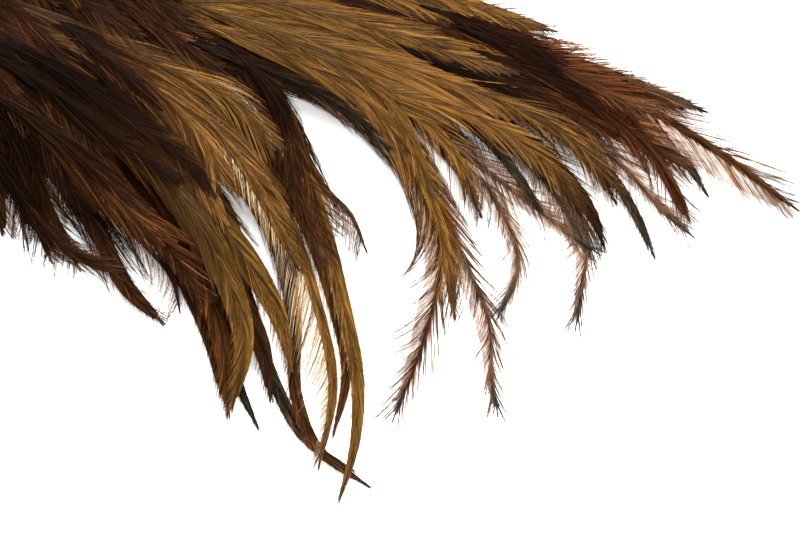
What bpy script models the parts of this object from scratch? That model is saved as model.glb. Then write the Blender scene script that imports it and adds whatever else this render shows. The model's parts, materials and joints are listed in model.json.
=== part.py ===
"""Rooster saddle hackle: a dried saddle skin with its long hackle feathers fanned out.

Metres, +Z up.  The origin is the middle of the skin's flat underside.  The skin's long axis
points AXIS_DEGREES from +X, towards the tail, and the feathers lie on one another in the order
in which they are listed, the lowest first, with every quill rooted on the skin.
"""
import math

import bmesh
import bpy
import numpy as np

MM = 0.001
COLLECTION = "rooster_saddle_hackle"

# Skin
AXIS_DEGREES = -23.0
SKIN_HALF_LENGTH = 57.0 * MM
SKIN_HALF_WIDTH = 50.0 * MM
SKIN_THICKNESS = 1.3 * MM
SKIN_RIM = 0.45 * MM
SKIN_POWER = 2.6
SKIN_FRONT_NARROWING = 0.16
SKIN_RIPPLE = 0.2 * MM
SKIN_SEGMENTS = 32
SKIN_RINGS = 16

# Feathers
STATION_PITCH = 6.2 * MM
QUILL_HALF_WIDTH = 0.8 * MM
TIP_HALF_WIDTH = 0.35 * MM
TAPER_FROM = 0.56
TAPER_POWER = 1.7
CLUMP_NOTCH = 0.86
TIP_CLUMP_NOTCH = 0.70
QUILL_HEIGHT = 0.8 * MM
TIP_HEIGHT = 0.3 * MM
DRAPE_PASSES = 14

# The pile that the feathers make as each is laid on those before it
GAP = 0.3 * MM
CELL = 1.0 * MM
PILE_CORNER = (-100.0 * MM, -190.0 * MM)
PILE_CELLS = (370, 300)
EDGE_MARGIN = 0.6 * MM

# Colours of the kinds of feather, with their roughness
FEATHER_LOOKS = {
    "furnace": ((0.16, 0.055, 0.018), 0.5),
    "gold": ((0.27, 0.15, 0.04), 0.45),
    "brown": ((0.07, 0.028, 0.012), 0.5),
    "red": ((0.15, 0.042, 0.014), 0.5),
    "grey": ((0.30, 0.20, 0.15), 0.55),
    "black": ((0.022, 0.024, 0.02), 0.4),
    "fluff": ((0.04, 0.025, 0.016), 0.7),
}
SKIN_LOOK = ((0.62, 0.47, 0.29), 0.6)

# Each feather: its width in millimetres, its kind, and its quill's route from root to tip,
# in millimetres on the plan.
LOWER_FLANK = (
    (18, "fluff", ((-38, -20), (-40, -34), (-38, -47), (-34, -58))),
    (18, "brown", ((-30, -30), (-28, -44), (-23, -57), (-18, -69))),
    (18, "fluff", ((-20, -36), (-14, -50), (-7, -64), (-2, -76))),
)
UPPER_FLANK = (
    (18, "brown", ((10, 44), (36, 50), (60, 49), (78, 42))),
    (18, "red", ((24, 40), (52, 43), (76, 38), (95, 29))),
    (18, "brown", ((34, 36), (66, 34), (92, 25), (112, 15))),
    (18, "gold", ((40, 30), (75, 24), (105, 12), (130, 0))),
    (16, "red", ((44, 24), (80, 14), (118, 0), (147, -14))),
)
RIGHT_FAN = (
    (13, "grey", ((45, -17), (110, -34), (159, -51), (178, -70), (185, -86), (184, -99),
                  (181.5, -114.5))),
    (15, "grey", ((42, -22), (90, -35), (125, -51), (141, -76), (150, -97), (156, -113),
                  (156.5, -127), (158.5, -140.5))),
    (14, "grey", ((43, -20), (100, -37), (141, -54), (158, -76), (164.5, -94), (158, -111))),
    (16, "grey", ((40, -20), (95, -34), (129, -46), (148, -61), (168, -76), (189, -91.5))),
    (18, "furnace", ((33, -26), (85, -36), (115, -48), (133, -67), (141, -91), (137, -114),
                     (126.5, -142))),
    (16, "grey", ((50, -9), (130, -30), (178, -52), (197, -66), (207, -77), (217.5, -86.5))),
    (15, "black", ((48, -12), (120, -31), (170, -51), (191, -66), (200, -80), (205.5, -92.5))),
    (15, "black", ((52, -5), (130, -24), (180, -42), (204, -54), (214, -62.5), (221.5, -74))),
    (19, "furnace", ((52, -3), (110, -16), (159, -30), (201, -46.5), (222, -59),
                     (249, -78.5))),
    (16, "grey", ((54, 3), (110, -12), (160, -27), (195, -39), (221.5, -49))),
    (20, "red", ((46, 12), (100, -4), (150, -22), (180, -34), (196.5, -39))),
    (16, "grey", ((44, -14), (100, -31), (150, -52), (172, -69), (183.5, -86))),
    (12, "black", ((36, -15), (100, -31), (140, -45), (157, -59), (171.5, -78))),
    (12, "furnace", ((30, -29), (65, -35), (90, -39), (114, -46), (130, -55))),
    (12, "black", ((26, -22), (70, -30), (104, -39), (117, -47), (125.5, -56.5))),
    (19, "brown", ((38, -12), (110, -33), (158, -51), (178, -67), (187, -80), (190.5, -90))),
    (22, "red", ((41, -2), (90, -17), (144, -33), (175, -43), (199, -55), (216, -66.5))),
    (22, "red", ((30, 8), (80, -6), (123, -18), (153, -27), (180, -38), (203, -49))),
    (15, "gold", ((50, 16), (90, 4), (129, -10), (159, -20), (176, -25))),
    (20, "gold", ((28, -20), (80, -31), (113, -43), (132, -62), (142, -86), (145.5, -111))),
    (18, "gold", ((30, -16), (90, -29), (128, -45), (145, -61), (153.5, -80.5))),
    (20, "gold", ((32, -10), (95, -25), (141, -38), (169, -49), (185, -62), (194, -76.5))),
    (18, "gold", ((25, -13), (75, -28), (120, -41), (155, -52), (174, -65), (184.5, -79.5))),
    (20, "gold", ((27, -6), (70, -19), (114, -31), (150, -42), (178, -55), (196.5, -73.5))),
)
LEFT_FAN = (
    (16, "fluff", ((-14, -38), (2, -54), (17, -75), (24.5, -93.5))),
    (15, "fluff", ((-8, -40), (8, -56), (21, -72), (28.5, -86), (33, -96))),
    (16, "grey", ((2, -44), (22, -60), (42, -79), (54, -90), (61, -99), (63, -108.5))),
    (18, "brown", ((-2, -42), (14, -54), (28, -68), (39, -85), (47, -101), (58, -112))),
    (18, "brown", ((4, -42), (32, -60), (54, -81), (66, -99), (73, -117), (75.5, -133.5))),
    (12, "black", ((12, -42), (40, -58), (62, -82), (75, -107), (80.5, -130),
                   (86.5, -143.5))),
    (17, "furnace", ((10, -40), (35, -52), (56, -71), (69, -95), (76, -117), (77.5, -140))),
    (12, "black", ((18, -36), (45, -52), (70, -78), (83, -105), (92, -131), (101, -147),
                   (115.5, -156.5))),
    (13, "furnace", ((20, -32), (50, -44), (78, -64), (93, -88), (97.5, -112), (98, -134),
                     (104, -149), (120.5, -161.5))),
    (18, "brown", ((14, -34), (42, -54), (66, -82), (80, -104), (88, -120), (90.5, -135))),
    (15, "grey", ((30, -27), (65, -32), (87, -43), (99, -60), (107, -72), (114, -79),
                  (119, -90.5))),
    (13, "furnace", ((26, -27), (58, -36), (84, -55), (99, -77), (108, -102), (113, -127),
                     (109, -146))),
    (13, "gold", ((15, -33), (50, -43), (80, -58), (95, -80), (104, -105), (109, -131),
                  (104.5, -156))),
    (14, "gold", ((22, -24), (58, -29), (83, -39), (96, -58), (105, -80), (112, -106),
                  (116.5, -131), (115.5, -148), (110.5, -166))),
    (20, "gold", ((2, -28), (34, -46), (64, -70), (84, -94), (93.5, -112), (96.5, -126))),
    (18, "gold", ((0, -30), (30, -44), (59, -68), (76, -95), (82.5, -117), (78.5, -138))),
    (19, "brown", ((24, -20), (58, -26), (84, -37), (94, -52), (98, -72), (106, -94))),
    (20, "furnace", ((-14, -30), (14, -46), (33, -62), (46, -76), (58.5, -88.5))),
    (18, "gold", ((6, -18), (36, -31), (63, -44), (79, -60), (90, -78), (99, -96))),
    (20, "gold", ((4, -12), (35, -26), (60, -36), (80, -46), (91.5, -60))),
    (20, "gold", ((-4, -16), (20, -26), (43, -34), (61, -46), (71, -58), (76.5, -70.5))),
)
COVERTS = (
    (27, "brown", ((-6, 32), (22, 28), (52, 18), (78, 6))),
    (27, "brown", ((-14, 10), (14, 3), (42, -8), (66, -20))),
    (27, "brown", ((-27, -12), (-5, -22), (17, -37), (36, -54))),
    (27, "furnace", ((-33, 40), (-6, 42), (20, 38), (44, 30))),
    (27, "furnace", ((-52, -4), (-32, -18), (-12, -36), (2, -54))),
    (27, "brown", ((-42, 18), (-15, 13), (12, 4), (36, -8))),
)
# How thick each feather is along its shaft, in millimetres.  The feathers of the flanks and the
# coverts lie in deep tufts, so they are thicker than the long ones.
LOWER_FLANK_RIDGES = (3.0, 3.0, 3.0)
UPPER_FLANK_RIDGES = (1.6, 1.6, 1.6, 1.6, 1.6)
HACKLE_RIDGES = (0.55,) * 24
COVERT_RIDGES = (4.5, 1.4, 1.4, 4.5, 1.6, 2.2)
# Each group: its pieces' name, its feathers, their thicknesses, and the fraction of a feather's
# length by which its vane has grown to its full width.
GROUPS = (
    ("lower_flank_feather", LOWER_FLANK, LOWER_FLANK_RIDGES, 0.35),
    ("upper_flank_feather", UPPER_FLANK, UPPER_FLANK_RIDGES, 0.35),
    ("right_hackle", RIGHT_FAN, HACKLE_RIDGES, 0.55),
    ("left_hackle", LEFT_FAN, HACKLE_RIDGES, 0.5),
    ("covert_feather", COVERTS, COVERT_RIDGES, 0.35),
)


def clear_scene():
    """Remove the objects that the file starts with."""
    for item in list(bpy.data.objects):
        bpy.data.objects.remove(item, do_unlink=True)


def make_material(name, colour, roughness):
    """Return a Principled material with the given base colour and roughness."""
    material = bpy.data.materials.new(name)
    material.use_nodes = True
    shader = material.node_tree.nodes["Principled BSDF"]
    shader.inputs["Base Color"].default_value = (*colour, 1.0)
    shader.inputs["Roughness"].default_value = roughness
    shader.inputs["Metallic"].default_value = 0.0
    material.diffuse_color = (*colour, 1.0)
    return material


def add_piece(name, bm, material, collection):
    """Make one named object of a finished bmesh and link it to the collection."""
    mesh = bpy.data.meshes.new(name)
    bm.to_mesh(mesh)
    bm.free()
    mesh.materials.append(material)
    piece = bpy.data.objects.new(name, mesh)
    collection.objects.link(piece)
    return piece


def skin_reach(angle):
    """Return the skin's outline radius at an angle from its long axis."""
    narrowing = 1.0 - SKIN_FRONT_NARROWING * max(0.0, -math.cos(angle)) ** 2
    along = abs(math.cos(angle)) / SKIN_HALF_LENGTH
    across = abs(math.sin(angle)) / (SKIN_HALF_WIDTH * narrowing)
    radius = (along ** SKIN_POWER + across ** SKIN_POWER) ** (-1.0 / SKIN_POWER)
    return radius * (1.0 + 0.018 * math.sin(5.0 * angle + 0.6) + 0.012 * math.sin(9.0 * angle))


def skin_top(radial, angle):
    """Return the height of the skin's upper face, from 0 at its middle to 1 at its rim."""
    swell = SKIN_THICKNESS - (SKIN_THICKNESS - SKIN_RIM) * radial ** 4
    ripple = math.sin(3.0 * angle + 7.0 * radial) * radial * (1.0 - radial)
    return swell + SKIN_RIPPLE * ripple


def make_skin(material, collection):
    """Make the skin: a sphere spread flat to the hide's outline, with a level underside."""
    bm = bmesh.new()
    bmesh.ops.create_uvsphere(bm, u_segments=SKIN_SEGMENTS, v_segments=SKIN_RINGS, radius=1.0)
    underside = [face for face in bm.faces if face.calc_center_median().z < 0.0]
    bmesh.ops.delete(bm, geom=underside, context="FACES")
    rim = [edge for edge in bm.edges if edge.is_boundary]
    for vert in bm.verts:
        angle = math.atan2(vert.co.y, vert.co.x)
        radial = min(1.0, math.acos(max(-1.0, min(1.0, vert.co.z))) / (0.5 * math.pi))
        reach = skin_reach(angle) * radial
        turned = angle + math.radians(AXIS_DEGREES)
        vert.co = (reach * math.cos(turned), reach * math.sin(turned), skin_top(radial, angle))
    side = bmesh.ops.extrude_edge_only(bm, edges=rim)["geom"]
    low_verts = [item for item in side if isinstance(item, bmesh.types.BMVert)]
    low_edges = [item for item in side if isinstance(item, bmesh.types.BMEdge)]
    for vert in low_verts:
        vert.co.z = 0.0
    low_edges = [edge for edge in low_edges if edge.is_boundary]
    bmesh.ops.holes_fill(bm, edges=low_edges, sides=0)
    bmesh.ops.recalc_face_normals(bm, faces=bm.faces)
    return add_piece("skin", bm, material, collection)


def smooth_route(points):
    """Return points and lengths along a smooth curve through a feather's route, in metres."""
    knots = np.array(points, dtype=float) * MM
    spans = np.linalg.norm(np.diff(knots, axis=0), axis=1)
    chords = np.diff(knots, axis=0) / spans[:, None]
    tangents = np.empty_like(knots)
    tangents[0] = chords[0]
    tangents[-1] = chords[-1]
    for i in range(1, len(knots) - 1):
        weight = spans[i] + spans[i - 1]
        tangents[i] = (chords[i - 1] * spans[i] + chords[i] * spans[i - 1]) / weight
    pieces = []
    for i, span in enumerate(spans):
        u = np.linspace(0.0, 1.0, 24, endpoint=False)[:, None]
        start = (2 * u ** 3 - 3 * u ** 2 + 1) * knots[i]
        end = (3 * u ** 2 - 2 * u ** 3) * knots[i + 1]
        leaving = (u ** 3 - 2 * u ** 2 + u) * span * tangents[i]
        arriving = (u ** 3 - u ** 2) * span * tangents[i + 1]
        pieces.append(start + end + leaving + arriving)
    pieces.append(knots[-1:])
    curve = np.concatenate(pieces)
    steps = np.linalg.norm(np.diff(curve, axis=0), axis=1)
    return curve, np.concatenate(([0.0], np.cumsum(steps)))


def vane_half_widths(fractions, width, full_at):
    """Return the vane's half-width at each station, notched where the barbs clump."""
    grow = np.clip(fractions / full_at, 0.0, 1.0)
    grow = grow * grow * (3.0 - 2.0 * grow)
    thin = np.clip((fractions - TAPER_FROM) / (1.0 - TAPER_FROM), 0.0, 1.0)
    half = QUILL_HALF_WIDTH + (0.5 * width - QUILL_HALF_WIDTH) * grow
    half = TIP_HALF_WIDTH + (half - TIP_HALF_WIDTH) * (1.0 - thin ** TAPER_POWER)
    notch = CLUMP_NOTCH + (TIP_CLUMP_NOTCH - CLUMP_NOTCH) * thin
    is_notch = np.arange(len(fractions)) % 2 == 1
    return half * np.where(is_notch, notch, 1.0)


def vane_plan(points, width, full_at):
    """Return the vane's left edge, shaft and right edge on the plan, and their fractions.

    The stations are evenly spaced along the shaft, each square to it.
    """
    curve, lengths = smooth_route(points)
    count = max(6, int(round(lengths[-1] / STATION_PITCH)))
    fractions = np.linspace(0.0, 1.0, count + 1)
    wanted = fractions * lengths[-1]
    shaft = np.column_stack([np.interp(wanted, lengths, curve[:, k]) for k in (0, 1)])
    heading = np.gradient(shaft, axis=0)
    heading /= np.linalg.norm(heading, axis=1)[:, None]
    sideways = np.column_stack([-heading[:, 1], heading[:, 0]])
    half = vane_half_widths(fractions, width, full_at)[:, None]
    return shaft + sideways * half, shaft, shaft - sideways * half, fractions


def ridge_heights(fractions, ridge, full_at):
    """Return the feather's height along its shaft, from its quill to its thin tip."""
    bare = np.clip(1.0 - fractions / full_at, 0.0, 1.0)
    thin = np.clip((fractions - TAPER_FROM) / (1.0 - TAPER_FROM), 0.0, 1.0)
    height = ridge + (QUILL_HEIGHT - ridge) * bare
    return height + (TIP_HEIGHT - ridge) * thin


class Pile:
    """Height of what already lies at each place, on a grid of square cells."""

    def __init__(self):
        self.top = np.zeros(PILE_CELLS)

    def corners_of(self, points):
        """Return the four grid cells around each of the given places."""
        at = (points - np.array(PILE_CORNER)) / CELL
        low = np.floor(at).astype(int)
        across = np.concatenate([low[:, 0], low[:, 0] + 1, low[:, 0], low[:, 0] + 1])
        along = np.concatenate([low[:, 1], low[:, 1], low[:, 1] + 1, low[:, 1] + 1])
        return across, along

    def highest(self, points):
        """Return the greatest height at the given places."""
        return float(self.top[self.corners_of(points)].max())

    def raise_to(self, points, heights):
        """Raise the pile to the given heights at the given places."""
        np.maximum.at(self.top, self.corners_of(points), np.tile(heights, 4))

    def add_skin(self):
        """Lay the skin."""
        angles = np.arange(0.0, 2.0 * math.pi, 0.01)
        for radial in np.arange(0.0, 1.001, 0.012):
            reach = np.array([skin_reach(angle) for angle in angles]) * radial
            turned = angles + math.radians(AXIS_DEGREES)
            points = np.column_stack([reach * np.cos(turned), reach * np.sin(turned)])
            heights = np.array([skin_top(radial, angle) for angle in angles])
            self.raise_to(points, heights)


def footprint(left, shaft, right, i, margin):
    """Return places under the vane between stations i and i + 1, with their two fractions."""
    along = np.linspace(0.0, 1.0, 13)
    across = np.linspace(-1.0, 1.0, 41)
    u, w = (grid.ravel() for grid in np.meshgrid(along, across))
    spine = shaft[i] + (shaft[i + 1] - shaft[i]) * u[:, None]
    left_edge = left[i] + (left[i + 1] - left[i]) * u[:, None]
    right_edge = right[i] + (right[i + 1] - right[i]) * u[:, None]
    reach = np.where(w[:, None] > 0.0, left_edge, right_edge) - spine
    wider = 1.0 + margin / np.linalg.norm(reach, axis=1)
    return spine + reach * (wider * np.abs(w))[:, None], u, w


def drape(pile, left, shaft, right):
    """Return the height of the feather's underside at each station, lying on the pile."""
    needed = np.zeros(len(shaft))
    for i in range(len(shaft) - 1):
        points, _, _ = footprint(left, shaft, right, i, EDGE_MARGIN)
        level = pile.highest(points)
        if level > 0.0:
            level += GAP
        needed[i] = max(needed[i], level)
        needed[i + 1] = max(needed[i + 1], level)
    heights = needed.copy()
    for _ in range(DRAPE_PASSES):
        between = 0.5 * (heights[:-2] + heights[2:])
        heights[1:-1] = np.maximum(needed[1:-1], between)
    return heights


def record_feather(pile, left, shaft, right, heights, ridges):
    """Add a laid feather to the pile."""
    for i in range(len(shaft) - 1):
        points, u, w = footprint(left, shaft, right, i, 0.0)
        base = heights[i] + (heights[i + 1] - heights[i]) * u
        ridge = ridges[i] + (ridges[i + 1] - ridges[i]) * u
        pile.raise_to(points, base + ridge * (1.0 - np.abs(w)))


def make_feather(name, width, points, ridge, full_at, pile, material, collection):
    """Make one feather: its vane as a flat-bottomed roof lofted along the shaft's route."""
    left, shaft, right, fractions = vane_plan(points, width * MM, full_at)
    ridges = ridge_heights(fractions, ridge * MM, full_at)
    heights = drape(pile, left, shaft, right)
    record_feather(pile, left, shaft, right, heights, ridges)
    bm = bmesh.new()
    sections = []
    for i, base in enumerate(heights):
        section = (
            bm.verts.new((left[i][0], left[i][1], base)),
            bm.verts.new((shaft[i][0], shaft[i][1], base + ridges[i])),
            bm.verts.new((right[i][0], right[i][1], base)),
        )
        sections.append(section)
    lengths = list(zip(sections[:-1], sections[1:]))
    for before, after in reversed(lengths):
        for k in range(3):
            follows = (k + 1) % 3
            bm.faces.new((before[k], before[follows], after[follows], after[k]))
    bm.faces.new(reversed(sections[0]))
    bm.faces.new(sections[-1])
    return add_piece(name, bm, material, collection)


def main():
    """Build the skin, then lay the feathers on it group by group."""
    clear_scene()
    collection = bpy.data.collections.new(COLLECTION)
    bpy.context.scene.collection.children.link(collection)
    pile = Pile()
    pile.add_skin()
    make_skin(make_material("dried_skin", *SKIN_LOOK), collection)
    for group, feathers, ridges, full_at in GROUPS:
        for number, (width, kind, points) in enumerate(feathers, start=1):
            name = f"{group}_{number:02d}"
            ridge = ridges[number - 1]
            material = make_material(name, *FEATHER_LOOKS[kind])
            make_feather(name, width, points, ridge, full_at, pile, material, collection)


main()
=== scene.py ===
"""Rooster saddle hackle, dressed: each feather has its shaft and all its separate barbs.

Metres, +Z up. Every feather follows the same route as its solid in the frame, and takes the
height of its shaft from that solid.
"""
import json
import logging
import math
from dataclasses import dataclass, field
from enum import Enum

import bmesh
import bpy
import numpy as np
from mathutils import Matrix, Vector
from mathutils.bvhtree import BVHTree

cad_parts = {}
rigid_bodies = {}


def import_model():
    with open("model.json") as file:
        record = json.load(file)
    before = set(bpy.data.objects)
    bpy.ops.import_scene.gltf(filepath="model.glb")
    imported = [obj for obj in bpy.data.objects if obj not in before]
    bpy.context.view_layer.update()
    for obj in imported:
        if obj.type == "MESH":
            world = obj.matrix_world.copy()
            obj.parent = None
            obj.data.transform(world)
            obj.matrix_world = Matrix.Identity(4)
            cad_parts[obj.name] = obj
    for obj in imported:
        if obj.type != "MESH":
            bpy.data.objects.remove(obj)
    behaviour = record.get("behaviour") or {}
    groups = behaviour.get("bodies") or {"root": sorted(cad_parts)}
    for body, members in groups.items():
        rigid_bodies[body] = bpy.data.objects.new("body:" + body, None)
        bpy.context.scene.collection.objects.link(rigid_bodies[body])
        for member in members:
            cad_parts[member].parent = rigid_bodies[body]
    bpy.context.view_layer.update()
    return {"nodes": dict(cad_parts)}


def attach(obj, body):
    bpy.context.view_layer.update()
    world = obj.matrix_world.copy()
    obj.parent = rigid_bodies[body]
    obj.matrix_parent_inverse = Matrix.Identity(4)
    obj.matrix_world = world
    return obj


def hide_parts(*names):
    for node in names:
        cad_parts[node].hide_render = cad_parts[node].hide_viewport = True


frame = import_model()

LOG = logging.getLogger("saddle_hackle")
MM = 0.001
BODY = "root"
Colour = tuple[float, float, float]
Place = tuple[float, float, float]
Tones = tuple[float, float, float]
RoutePoints = tuple[tuple[float, float], ...]
FeatherRow = tuple[float, str, RoutePoints]
LooseRow = tuple[float, str, Tones, RoutePoints]

# The barbs' UV map has a column for each tone, from dark to light. In a column a feather runs
# from its root on the left to its tip on the right. The shaft takes the lowest part of the map,
# and each sort of barb a part of its own above it.
UV_NAME = "OFBake"
TONES = 8
SHAFT_TO = 0.08
# The darkest tone multiplies a colour by DARKEST, the lightest by TONE_RANGE times as much.
DARKEST = 0.22
TONE_RANGE = 9.0
# The share of a wide web's reach that is left on its left side.
ONE_SIDED_LEFT = 0.2
# How light a web is, from 0 to 1.
WEB_TONE = 0.72
# Free barbs whose reach is a smaller share of the feather's half-width than this lie unseen
# under the band, so they end where the others part.
LEAST_REACH = 0.3
# The fraction of the length where the closed sheets of the band and the web end.
SHEETS_TO = 0.97
# How fine a vane's streaks are: along the feather, across it, and from tone to tone.
STREAKS = (70.0, 6.0, 9.0)

# Each feather: its width in millimetres, its kind, and its quill's route from root to tip,
# in millimetres on the plan.
LOWER_FLANK: tuple[FeatherRow, ...] = (
    (18, "fluff", ((-38, -20), (-40, -34), (-38, -47), (-34, -58))),
    (18, "brown", ((-30, -30), (-28, -44), (-23, -57), (-18, -69))),
    (18, "fluff", ((-20, -36), (-14, -50), (-7, -64), (-2, -76))),
)
UPPER_FLANK: tuple[FeatherRow, ...] = (
    (18, "brown", ((10, 44), (36, 50), (60, 49), (78, 42))),
    (18, "red", ((24, 40), (52, 43), (76, 38), (95, 29))),
    (18, "brown", ((34, 36), (66, 34), (92, 25), (112, 15))),
    (18, "gold", ((40, 30), (75, 24), (105, 12), (130, 0))),
    (16, "red", ((44, 24), (80, 14), (118, 0), (147, -14))),
)
RIGHT_FAN: tuple[FeatherRow, ...] = (
    (13, "grey", ((45, -17), (110, -34), (159, -51), (178, -70), (185, -86), (184, -99),
                  (181.5, -114.5))),
    (15, "grey", ((42, -22), (90, -35), (125, -51), (141, -76), (150, -97), (156, -113),
                  (156.5, -127), (158.5, -140.5))),
    (14, "grey", ((43, -20), (100, -37), (141, -54), (158, -76), (164.5, -94), (158, -111))),
    (16, "grey", ((40, -20), (95, -34), (129, -46), (148, -61), (168, -76), (189, -91.5))),
    (18, "furnace", ((33, -26), (85, -36), (115, -48), (133, -67), (141, -91), (137, -114),
                     (126.5, -142))),
    (16, "grey", ((50, -9), (130, -30), (178, -52), (197, -66), (207, -77), (217.5, -86.5))),
    (15, "black", ((48, -12), (120, -31), (170, -51), (191, -66), (200, -80), (205.5, -92.5))),
    (15, "black", ((52, -5), (130, -24), (180, -42), (204, -54), (214, -62.5), (221.5, -74))),
    (19, "furnace", ((52, -3), (110, -16), (159, -30), (201, -46.5), (222, -59),
                     (249, -78.5))),
    (16, "grey", ((54, 3), (110, -12), (160, -27), (195, -39), (221.5, -49))),
    (20, "red", ((46, 12), (100, -4), (150, -22), (180, -34), (196.5, -39))),
    (16, "grey", ((44, -14), (100, -31), (150, -52), (172, -69), (183.5, -86))),
    (12, "black", ((36, -15), (100, -31), (140, -45), (157, -59), (171.5, -78))),
    (12, "furnace", ((30, -29), (65, -35), (90, -39), (114, -46), (130, -55))),
    (12, "black", ((26, -22), (70, -30), (104, -39), (117, -47), (125.5, -56.5))),
    (19, "brown", ((38, -12), (110, -33), (158, -51), (178, -67), (187, -80), (190.5, -90))),
    (22, "red", ((41, -2), (90, -17), (144, -33), (175, -43), (199, -55), (216, -66.5))),
    (22, "red", ((30, 8), (80, -6), (123, -18), (153, -27), (180, -38), (203, -49))),
    (15, "gold", ((50, 16), (90, 4), (129, -10), (159, -20), (176, -25))),
    (17, "gold", ((28, -20), (80, -31), (113, -43), (132, -62), (142, -86), (145.5, -111))),
    (18, "gold", ((30, -16), (90, -29), (128, -45), (145, -61), (153.5, -80.5))),
    (20, "gold", ((32, -10), (95, -25), (141, -38), (169, -49), (185, -62), (194, -76.5))),
    (18, "gold", ((25, -13), (75, -28), (120, -41), (155, -52), (174, -65), (184.5, -79.5))),
    (20, "gold", ((27, -6), (70, -19), (114, -31), (150, -42), (178, -55), (196.5, -73.5))),
)
LEFT_FAN: tuple[FeatherRow, ...] = (
    (16, "fluff", ((-14, -38), (2, -54), (17, -75), (24.5, -93.5))),
    (15, "fluff", ((-8, -40), (8, -56), (21, -72), (28.5, -86), (33, -96))),
    (16, "grey", ((2, -44), (22, -60), (42, -79), (54, -90), (61, -99), (63, -108.5))),
    (18, "brown", ((-2, -42), (14, -54), (28, -68), (39, -85), (47, -101), (58, -112))),
    (18, "brown", ((4, -42), (32, -60), (54, -81), (66, -99), (73, -117), (75.5, -133.5))),
    (12, "black", ((12, -42), (40, -58), (62, -82), (75, -107), (80.5, -130),
                   (86.5, -143.5))),
    (17, "furnace", ((10, -40), (35, -52), (56, -71), (69, -95), (76, -117), (77.5, -140))),
    (12, "black", ((18, -36), (45, -52), (70, -78), (83, -105), (92, -131), (101, -147),
                   (115.5, -156.5))),
    (13, "furnace", ((20, -32), (50, -44), (78, -64), (93, -88), (97.5, -112), (98, -134),
                     (104, -149), (120.5, -161.5))),
    (18, "brown", ((14, -34), (42, -54), (66, -82), (80, -104), (88, -120), (90.5, -135))),
    (15, "grey", ((30, -27), (65, -32), (87, -43), (99, -60), (107, -72), (114, -79),
                  (119, -90.5))),
    (13, "furnace", ((26, -27), (58, -36), (84, -55), (99, -77), (108, -102), (113, -127),
                     (109, -146))),
    (13, "gold", ((15, -33), (50, -43), (80, -58), (95, -80), (104, -105), (109, -131),
                  (104.5, -156))),
    (14, "gold", ((22, -24), (58, -29), (83, -39), (96, -58), (105, -80), (112, -106),
                  (116.5, -131), (115.5, -148), (110.5, -166))),
    (20, "gold", ((2, -28), (34, -46), (64, -70), (84, -94), (93.5, -112), (96.5, -126))),
    (18, "gold", ((0, -30), (30, -44), (59, -68), (76, -95), (82.5, -117), (78.5, -138))),
    (19, "brown", ((24, -20), (58, -26), (84, -37), (94, -52), (98, -72), (106, -94))),
    (20, "furnace", ((-14, -30), (14, -46), (33, -62), (46, -76), (58.5, -88.5))),
    (18, "gold", ((6, -18), (36, -31), (63, -44), (79, -60), (90, -78), (99, -96))),
    (20, "gold", ((4, -12), (35, -26), (60, -36), (80, -46), (91.5, -60))),
    (20, "gold", ((-4, -16), (20, -26), (43, -34), (61, -46), (71, -58), (76.5, -70.5))),
)
COVERTS: tuple[FeatherRow, ...] = (
    (27, "brown", ((-6, 32), (22, 28), (52, 18), (78, 6))),
    (27, "brown", ((-14, 10), (14, 3), (42, -8), (66, -20))),
    (27, "brown", ((-27, -12), (-5, -22), (17, -37), (36, -54))),
    (27, "furnace", ((-33, 40), (-6, 42), (20, 38), (44, 30))),
    (27, "furnace", ((-52, -4), (-32, -18), (-12, -36), (2, -54))),
    (27, "brown", ((-42, 18), (-15, 13), (12, 4), (36, -8))),
)
# Feathers that lie on top of the others, from the lowest to the highest: width, kind, how light
# they are along them, route.
ON_TOP: tuple[LooseRow, ...] = (
    (16, "red", (0.3, 0.3, 0.6), ((123, -24), (145.5, -34), (172, -44), (203, -60.5))),
    (16, "brown", (0.3, 0.4, 0.6), ((124, -27), (141, -33.5), (165, -43.5), (189, -55.5))),
    (15, "red", (0.3, 0.5, 0.8), ((144, -22.5), (165, -30.5), (190, -43.5), (209, -64.5))),
    (15, "red", (0.4, 0.6, 0.8), ((150, -30), (185, -45), (205, -62), (216, -81.6))),
    (13, "red", (0.3, 0.5, 0.7), ((135, -17), (163, -27), (189, -38.5), (214, -48))),
    (14, "gold", (0.6, 0.7, 0.6), ((15, 6), (60, -8), (100, -18), (141, -29.5))),
    (14, "gold", (0.6, 0.65, 0.5), ((20, 2), (70, -11), (120, -24), (164, -37.5))),
    (14, "gold", (0.7, 0.65, 0.4), ((18, 10), (70, -1), (115, -9), (150, -17), (173, -24.5))),
    (14, "black", (0.1, 0.2, 0.5), ((66, -28), (92, -37.5), (111, -47), (125.5, -59.5))),
    (12, "gold", (0.5, 0.6, 0.7), ((66, -21), (97, -33), (118, -45), (134, -63))),
    (12, "gold", (0.5, 0.6, 0.7), ((60, -14), (100, -30), (125, -46), (139, -74))),
    (18, "furnace", (0.1, 0.2, 0.5),
     ((78, -29.5), (86, -37), (94, -48.5), (101, -65), (106.5, -85))),
    (14, "brown", (0.0, 0.0, 0.2), ((-2, -22), (26, -36), (50, -52), (66, -64), (74, -74))),
    (16, "brown", (0.0, 0.0, 0.2), ((-6, -24), (22, -40), (45, -57), (63, -70))),
    (14, "furnace", (0.2, 0.3, 0.6), ((0, -38), (24, -54), (48, -76), (61, -91), (69, -105))),
    (12, "brown", (0.2, 0.4, 0.7), ((2, -50), (16, -74), (27, -88), (44.5, -96.5))),
)


class Kind(Enum):
    """The kinds of feather, named for their colour."""

    FURNACE = "furnace"
    GOLD = "gold"
    BROWN = "brown"
    RED = "red"
    GREY = "grey"
    BLACK = "black"
    FLUFF = "fluff"


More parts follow.
